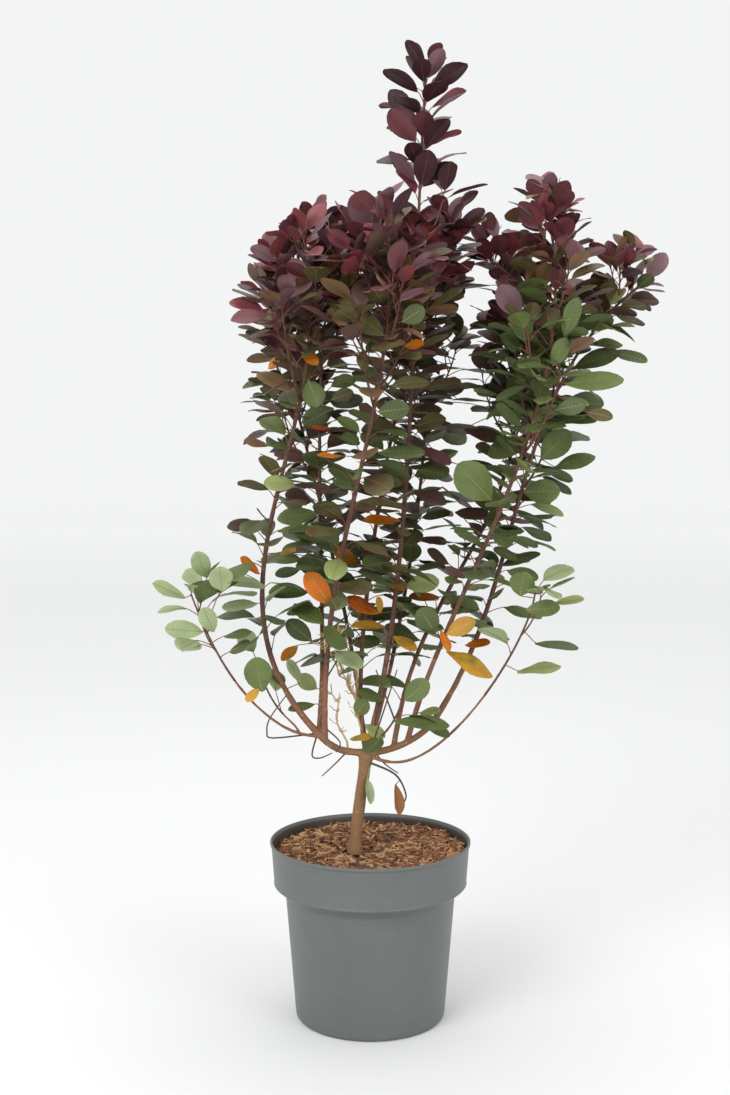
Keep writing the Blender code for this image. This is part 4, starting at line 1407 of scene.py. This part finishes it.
def leafy_shoots(stems, twigs, fine_twigs):
    """Every stem and twig, with how its leaves are set."""
    shoots = []
    for name, (_, stem) in stems.items():
        low = STEM_ZONES.get(name) in ("low", "heart")
        pitch, tuft = (LOW_PITCH, TUFTS["low_stem"]) if low else (STEM_PITCH, TUFTS["stem"])
        if name == "leader":
            pitch, tuft = LEADER_PITCH, TUFTS["leader"]
        shoots.append(Shoot(name, stem, 0.0, pitch, tuft))
        pitch, tuft = (LOW_PITCH, TUFTS["low_twig"]) if low else (TWIG_PITCH, TUFTS["twig"])
        shoots += [Shoot(name, twig, TWIG_BARE, pitch, tuft) for twig in twigs[name]]
        for fine in fine_twigs[name]:
            shoots.append(Shoot(name, fine, FINE_TWIG_BARE, TWIG_PITCH, TUFTS["fine_twig"]))
    return shoots


def leaf_spots(shoot):
    """The shares of a shoot where leaves stand, with how far each belongs to its tuft."""
    length = shoot.axis.length
    tuft_foot = length - shoot.tuft * TUFT_PITCH
    spots = []
    place = shoot.bare * length
    while place < tuft_foot:
        spots.append((place / length, 0.0))
        place += shoot.pitch
    for index in range(1, shoot.tuft + 1):
        spots.append(((tuft_foot + index * TUFT_PITCH) / length, index / shoot.tuft))
    return spots


def picked_leaf(row, wood_points, chance):
    """A leaf between two pixels of the picture that hangs on the nearest stem or twig."""
    tint, root_u, root_v, tip_u, tip_v, wide = row
    spot = nearest_wood(root_u, root_v, wood_points)
    root = at_pixel(root_u, root_v, spot.y - PICKED_ROOT_NEARER)
    along = at_pixel(tip_u, tip_v, spot.y - PICKED_TIP_NEARER) - root
    length = along.length
    along.normalize()
    seen = wide / math.hypot(tip_u - root_u, tip_v - root_v)
    width = min(max(seen, PICKED_WIDTH[0]), PICKED_WIDTH[1])
    seen = min(seen / width, 1.0)
    upward = UP if abs(along.z) < STEEP else STEEP_LEAF_UP
    face = (CAMERA_SPOT - root).normalized() * seen + upward * math.sqrt(1.0 - seen * seen)
    face = (face - along * face.dot(along)).normalized()
    return make_leaf(spot, root, along, face, length, width, *PICKED_SHAPE, tint, chance)


def leaf_box(row, leaf):
    """Middle and half size of the pixels round a picked leaf, and its depth."""
    _, root_u, root_v, tip_u, tip_v, wide = row
    half_u = max(abs(tip_u - root_u), wide) / 2 + BOX_MARGIN
    half_v = max(abs(tip_v - root_v), wide) / 2 + BOX_MARGIN
    return (root_u + tip_u) / 2, (root_v + tip_v) / 2, half_u, half_v, leaf.root.y


def leaf_fits(leaf, wood, boxes):
    """Whether a leaf is in the crown, clear of the wood, and hides no picked leaf."""
    tip = leaf.root + leaf.along * leaf.length
    if tip.z > CROWN_TOP or not inside_crown(tip):
        return False
    middle = leaf.root.lerp(tip, BODY_MIDDLE)
    side = leaf.along.cross(leaf.face) * (leaf.length * BODY_HALF)
    body = [tuple(point) for point in (middle, middle + side, middle - side, tip)]
    if distances(np.array(body), wood).min() < LEAF_CLEARANCE:
        return False
    u, v = to_pixel(middle)
    for middle_u, middle_v, half_u, half_v, depth in boxes:
        in_front = middle.y < depth + BOX_DEPTH
        if in_front and abs(u - middle_u) < half_u and abs(v - middle_v) < half_v:
            return False
    return True


def grow_leaves(shoots, boxes, chance):
    """The leaves of all shoots, set round each by the golden angle."""
    wood = np.concatenate([shoot.axis.segments() for shoot in shoots])
    leaves = []
    for shoot in shoots:
        name, axis = shoot.stem_name, shoot.axis
        turn = chance.uniform(0.0, FULL_TURN)
        for share, tuft in leaf_spots(shoot):
            turn += GOLDEN_TURN
            height = axis.place(share)[0].z
            if height < SPARSE_BELOW and chance.random() < SPARSE_SHARE:
                continue
            if name == "leader" and LEADER_BARE[0] < height < LEADER_BARE[1]:
                continue
            for smaller in LEAF_SHRINKS:
                tried_turn = turn + (1.0 - smaller) * SHRINK_TURN
                leaf = plan_leaf(axis, share, tried_turn, chance, name, tuft)
                leaf = leaf._replace(length=leaf.length * smaller)
                if leaf_fits(leaf, wood, boxes):
                    leaves.append(leaf)
                    axis.leafy_to = max(axis.leafy_to, share)
                    break
    return leaves


def leaf_stalk(leaf):
    """The arched stalk from the wood to a little way into the blade."""
    bend = leaf.stalk.lerp(leaf.root, 0.5) + UP * (leaf.length * STALK_ARCH)
    sink = leaf.root + leaf.along * (leaf.length * STALK_SINK)
    curve = (leaf.stalk, bend, leaf.root - leaf.along * STALK_STRAIGHT, sink)
    return curve_axis(curve, STALK_ROOT_RADIUS, STALK_TIP_RADIUS, STALK_STEPS)


def build_leaves(leaves):
    """Blades by tint, veins by colour, and the stalks."""
    blades = {tint: Heap() for tint in TINTS}
    veins = {kind: Heap() for kind in VEIN_COLOURS}
    stalks = Heap()
    for leaf in leaves:
        blades[leaf.tint].add(shaped(BLADE_PLACES, leaf), BLADE_FACES)
        veins[TINTS[leaf.tint][1]].add(shaped(VEIN_PLACES, leaf), VEIN_FACES)
        stalks.add(*tube(leaf_stalk(leaf), STALK_SIDES))
    foliage = nodes_named("foliage_")
    for tint, (colour, _, slot) in TINTS.items():
        material = leaf_material("leaf_" + tint, colour, PATCHES.get(tint), LEAF_GLOSS[slot])
        build("leaves_" + tint, blades[tint], material, foliage)
    for kind, colour in VEIN_COLOURS.items():
        slot = "wine_leaves" if kind == "rose" else "green_leaves"
        build("veins_" + kind, veins[kind], vein_material("veins_" + kind, colour))
    build("leaf_stalks", stalks, vein_material("leaf_stalk_skin", STALK_COLOUR))


def make_leaves(stems, twigs, fine_twigs):
    """Builds all leaves, and gives the points of wood that the camera may see."""
    chance = random.Random(LEAF_SEED)
    shoots = leafy_shoots(stems, twigs, fine_twigs)
    wood_points = seen_points(point for shoot in shoots for point in shoot.axis.points)
    for bough, _ in stems.values():
        wood_points += seen_points(bough.points[4:])
    picked = [picked_leaf(row, wood_points, chance) for row in PICKED_LEAVES]
    boxes = [leaf_box(row, leaf) for row, leaf in zip(PICKED_LEAVES, picked)]
    build_leaves(picked + grow_leaves(shoots, boxes, chance))
    return wood_points


# Dead twigs, dry tufts and hanging leaves
def bent_line(start, end, chance, steps=7, sway=0.06):
    """Points from start to end that sway a little to the sides."""
    run = end - start
    aside = run.cross(Vector((0.0, 1.0, 0.0))).normalized()
    points = []
    for step in range(steps + 1):
        part = step / steps
        swing = math.sin(part * math.pi) * chance.uniform(-sway, sway) * run.length
        points.append(start + run * part + aside * swing)
    return points


def smooth_line(knots):
    """Points on a smooth line through the knots."""
    points = []
    for index, (here, there) in enumerate(zip(knots, knots[1:])):
        before = knots[max(index - 1, 0)]
        after = knots[min(index + 2, len(knots) - 1)]
        low = here + (there - before) / 6
        high = there - (after - here) / 6
        points += interpolate_bezier(here, low, high, there, 5)[:4]
    return points + [knots[-1]]


def add_straw(straw, foot, tip, wood_points, chance):
    """A dry stalk with short hairs on its middle."""
    root = nearest_wood(*foot, wood_points)
    line = bent_line(root, at_pixel(*tip, root.y - STRAW_NEARER), chance)
    straw.add(*tube(tapered(line, STRAW_RADIUS, STRAW_TAPER), STALK_SIDES))
    for index in range(STRAW_HAIRS):
        start = line[HAIRY_FROM + index % HAIRY_POINTS]
        sideways, deep = chance.gauss(0, HAIR_SPREAD), chance.gauss(0, HAIR_SPREAD)
        way = Vector((sideways, deep, chance.uniform(*HAIR_RISE))).normalized()
        end = start + way * chance.uniform(*HAIR_LENGTH)
        hair = bent_line(start, end, chance, steps=4, sway=0.2)
        straw.add(*tube(tapered(hair, HAIR_RADIUS, 0.0), HAIR_SIDES))


def make_hanging_leaf(row, twig, chance):
    """A dead or fallen leaf that hangs from the hooked twig."""
    tint, left, top, right, bottom = row
    middle = (left + right) / 2
    root = at_pixel(middle, top, HANGING_DEPTH)
    run = at_pixel(middle + HANGING_LEAN, bottom, HANGING_DEPTH - HANGING_SWING) - root
    along = run.normalized()
    face = (CAMERA_SPOT - root).normalized() + HANGING_TURN
    face = (face - along * face.dot(along)).normalized()
    leaf = make_leaf(root, root, along, face, run.length, *HANGING_SHAPE, tint, chance)
    knot = min(twig, key=lambda point: (point - root).length)
    stalk = tapered([knot, knot.lerp(root, 0.5), root + along * STALK_STRAIGHT], HANGING_STALK_RADIUS, 0.0)
    heap = Heap().add(shaped(BLADE_PLACES, leaf), BLADE_FACES)
    heap.add(*tube(stalk, STALK_SIDES))
    material = leaf_material("leaf_hanging_" + tint, TINTS[tint][0], None, HANGING_GLOSS)
    build("hanging_leaf_" + tint, heap, material)


def make_dead_bits(wood_points):
    chance = random.Random(DEAD_SEED)
    straw = Heap()
    dark = Heap()
    red = Heap()
    for foot, tip in STRAW_ROUTES:
        add_straw(straw, foot, tip, wood_points, chance)
    for route in STUB_ROUTES:
        root = nearest_wood(*route[0], wood_points)
        line = smooth_line([root] + [at_pixel(u, v, root.y - STUB_NEARER) for u, v in route[1:]])
        dark.add(*tube(tapered(line, STUB_RADIUS, STUB_TAPER / len(line)), TWIG_SIDES))
    for foot, tip in RED_STALK_ROUTES:
        root = nearest_wood(*foot, wood_points)
        line = bent_line(root, at_pixel(*tip, root.y - RED_STALK_NEARER), chance)
        red.add(*tube(tapered(line, RED_STALK_RADIUS, RED_STALK_TAPER), STALK_SIDES))
    knots = [at_pixel(u, v, HANGING_DEPTH) for u, v in HOOKED_TWIG]
    twig = smooth_line([TRUNK_HEAD - UP * HOOK_BELOW_FORK] + knots)
    dark.add(*tube(tapered(twig, HOOK_RADIUS, HOOK_TAPER), HOOK_SIDES))
    build("dry_straw", straw, vein_material("straw_skin", STRAW_COLOUR))
    build("dead_twigs", dark, bark_material("dead_bark"))
    build("red_stalks", red, vein_material("red_stalk_skin", RED_STALK_COLOUR))
    for row in HANGING_LEAVES:
        make_hanging_leaf(row, twig, chance)


# Floor, light and camera
def make_floor():
    """A pale floor that fades into the sky, with painted shade near the middle that evens out the lamps'
    light on it.
    """
    paint = Paint("floor_white")
    length = paint.node("ShaderNodeVectorMath", {"operation": "LENGTH"}, {0: paint.place})
    far = Value(paint.tree, length.outputs["Value"])
    # Painted shade: darker near the middle, where the lamps light the floor most
    near_fade = far.ramp(start=0.8, slope=0.35)
    far_fade = far.ramp(start=3.5, slope=0.15)
    colour = paint.mix(near_fade * 0.4 + far_fade * 0.6, FLOOR_NEAR_PAINTED_SHADE, FLOOR_FAR)
    material = paint.finish(colour, 0.8, specular=0.1)
    low, high = -FLOOR_HALF, FLOOR_HALF
    corners = [(low, low, 0), (high, low, 0), (high, high, 0), (low, high, 0)]
    floor = show("floor", mesh_of("floor", Heap().add(corners, [(0, 1, 2, 3)]), material))
    floor.location.z = -FLOOR_DROP


def make_light():
    world = bpy.data.worlds.new("studio")
    world.use_nodes = True
    sky = world.node_tree.nodes["Background"]
    sky.inputs["Color"].default_value = SKY_COLOUR
    sky.inputs["Strength"].default_value = SKY_STRENGTH
    bpy.context.scene.world = world
    for name, (spot, aim, size, power) in LAMPS.items():
        lamp = bpy.data.lights.new(name, "AREA")
        lamp.size = size
        lamp.energy = power
        item = show(name, lamp)
        item.location = spot
        item.rotation_euler = (Vector(aim) - Vector(spot)).to_track_quat("-Z", "Y").to_euler()


def make_camera():
    lens = bpy.data.cameras.new("camera")
    lens.sensor_width = SENSOR
    lens.sensor_fit = "AUTO"
    lens.lens = FOCAL_PIXELS / IMAGE_HEIGHT * SENSOR
    lens.dof.use_dof = False
    camera = show("camera", lens)
    camera.location = CAMERA_SPOT
    camera.rotation_euler = (math.pi / 2 - CAMERA_TILT, 0.0, 0.0)
    bpy.context.scene.camera = camera
    bpy.context.scene.view_settings.view_transform = "Standard"


def main():
    make_floor()
    make_light()
    make_camera()
    make_pot()
    make_mulch_bed()
    make_chips()
    limbs, stems = grow_limbs()
    twigs = grow_twigs(stems)
    fine_twigs, carried = grow_fine_twigs(twigs)
    wood_points = make_leaves(stems, twigs, fine_twigs)
    prune(twigs, fine_twigs, carried)
    make_trunk_and_boughs(limbs)
    make_stems_and_twigs(stems, twigs, fine_twigs)
    for name in ARMS:
        wood_points += seen_points(limbs[name].points)
    make_dead_bits(wood_points)


main()
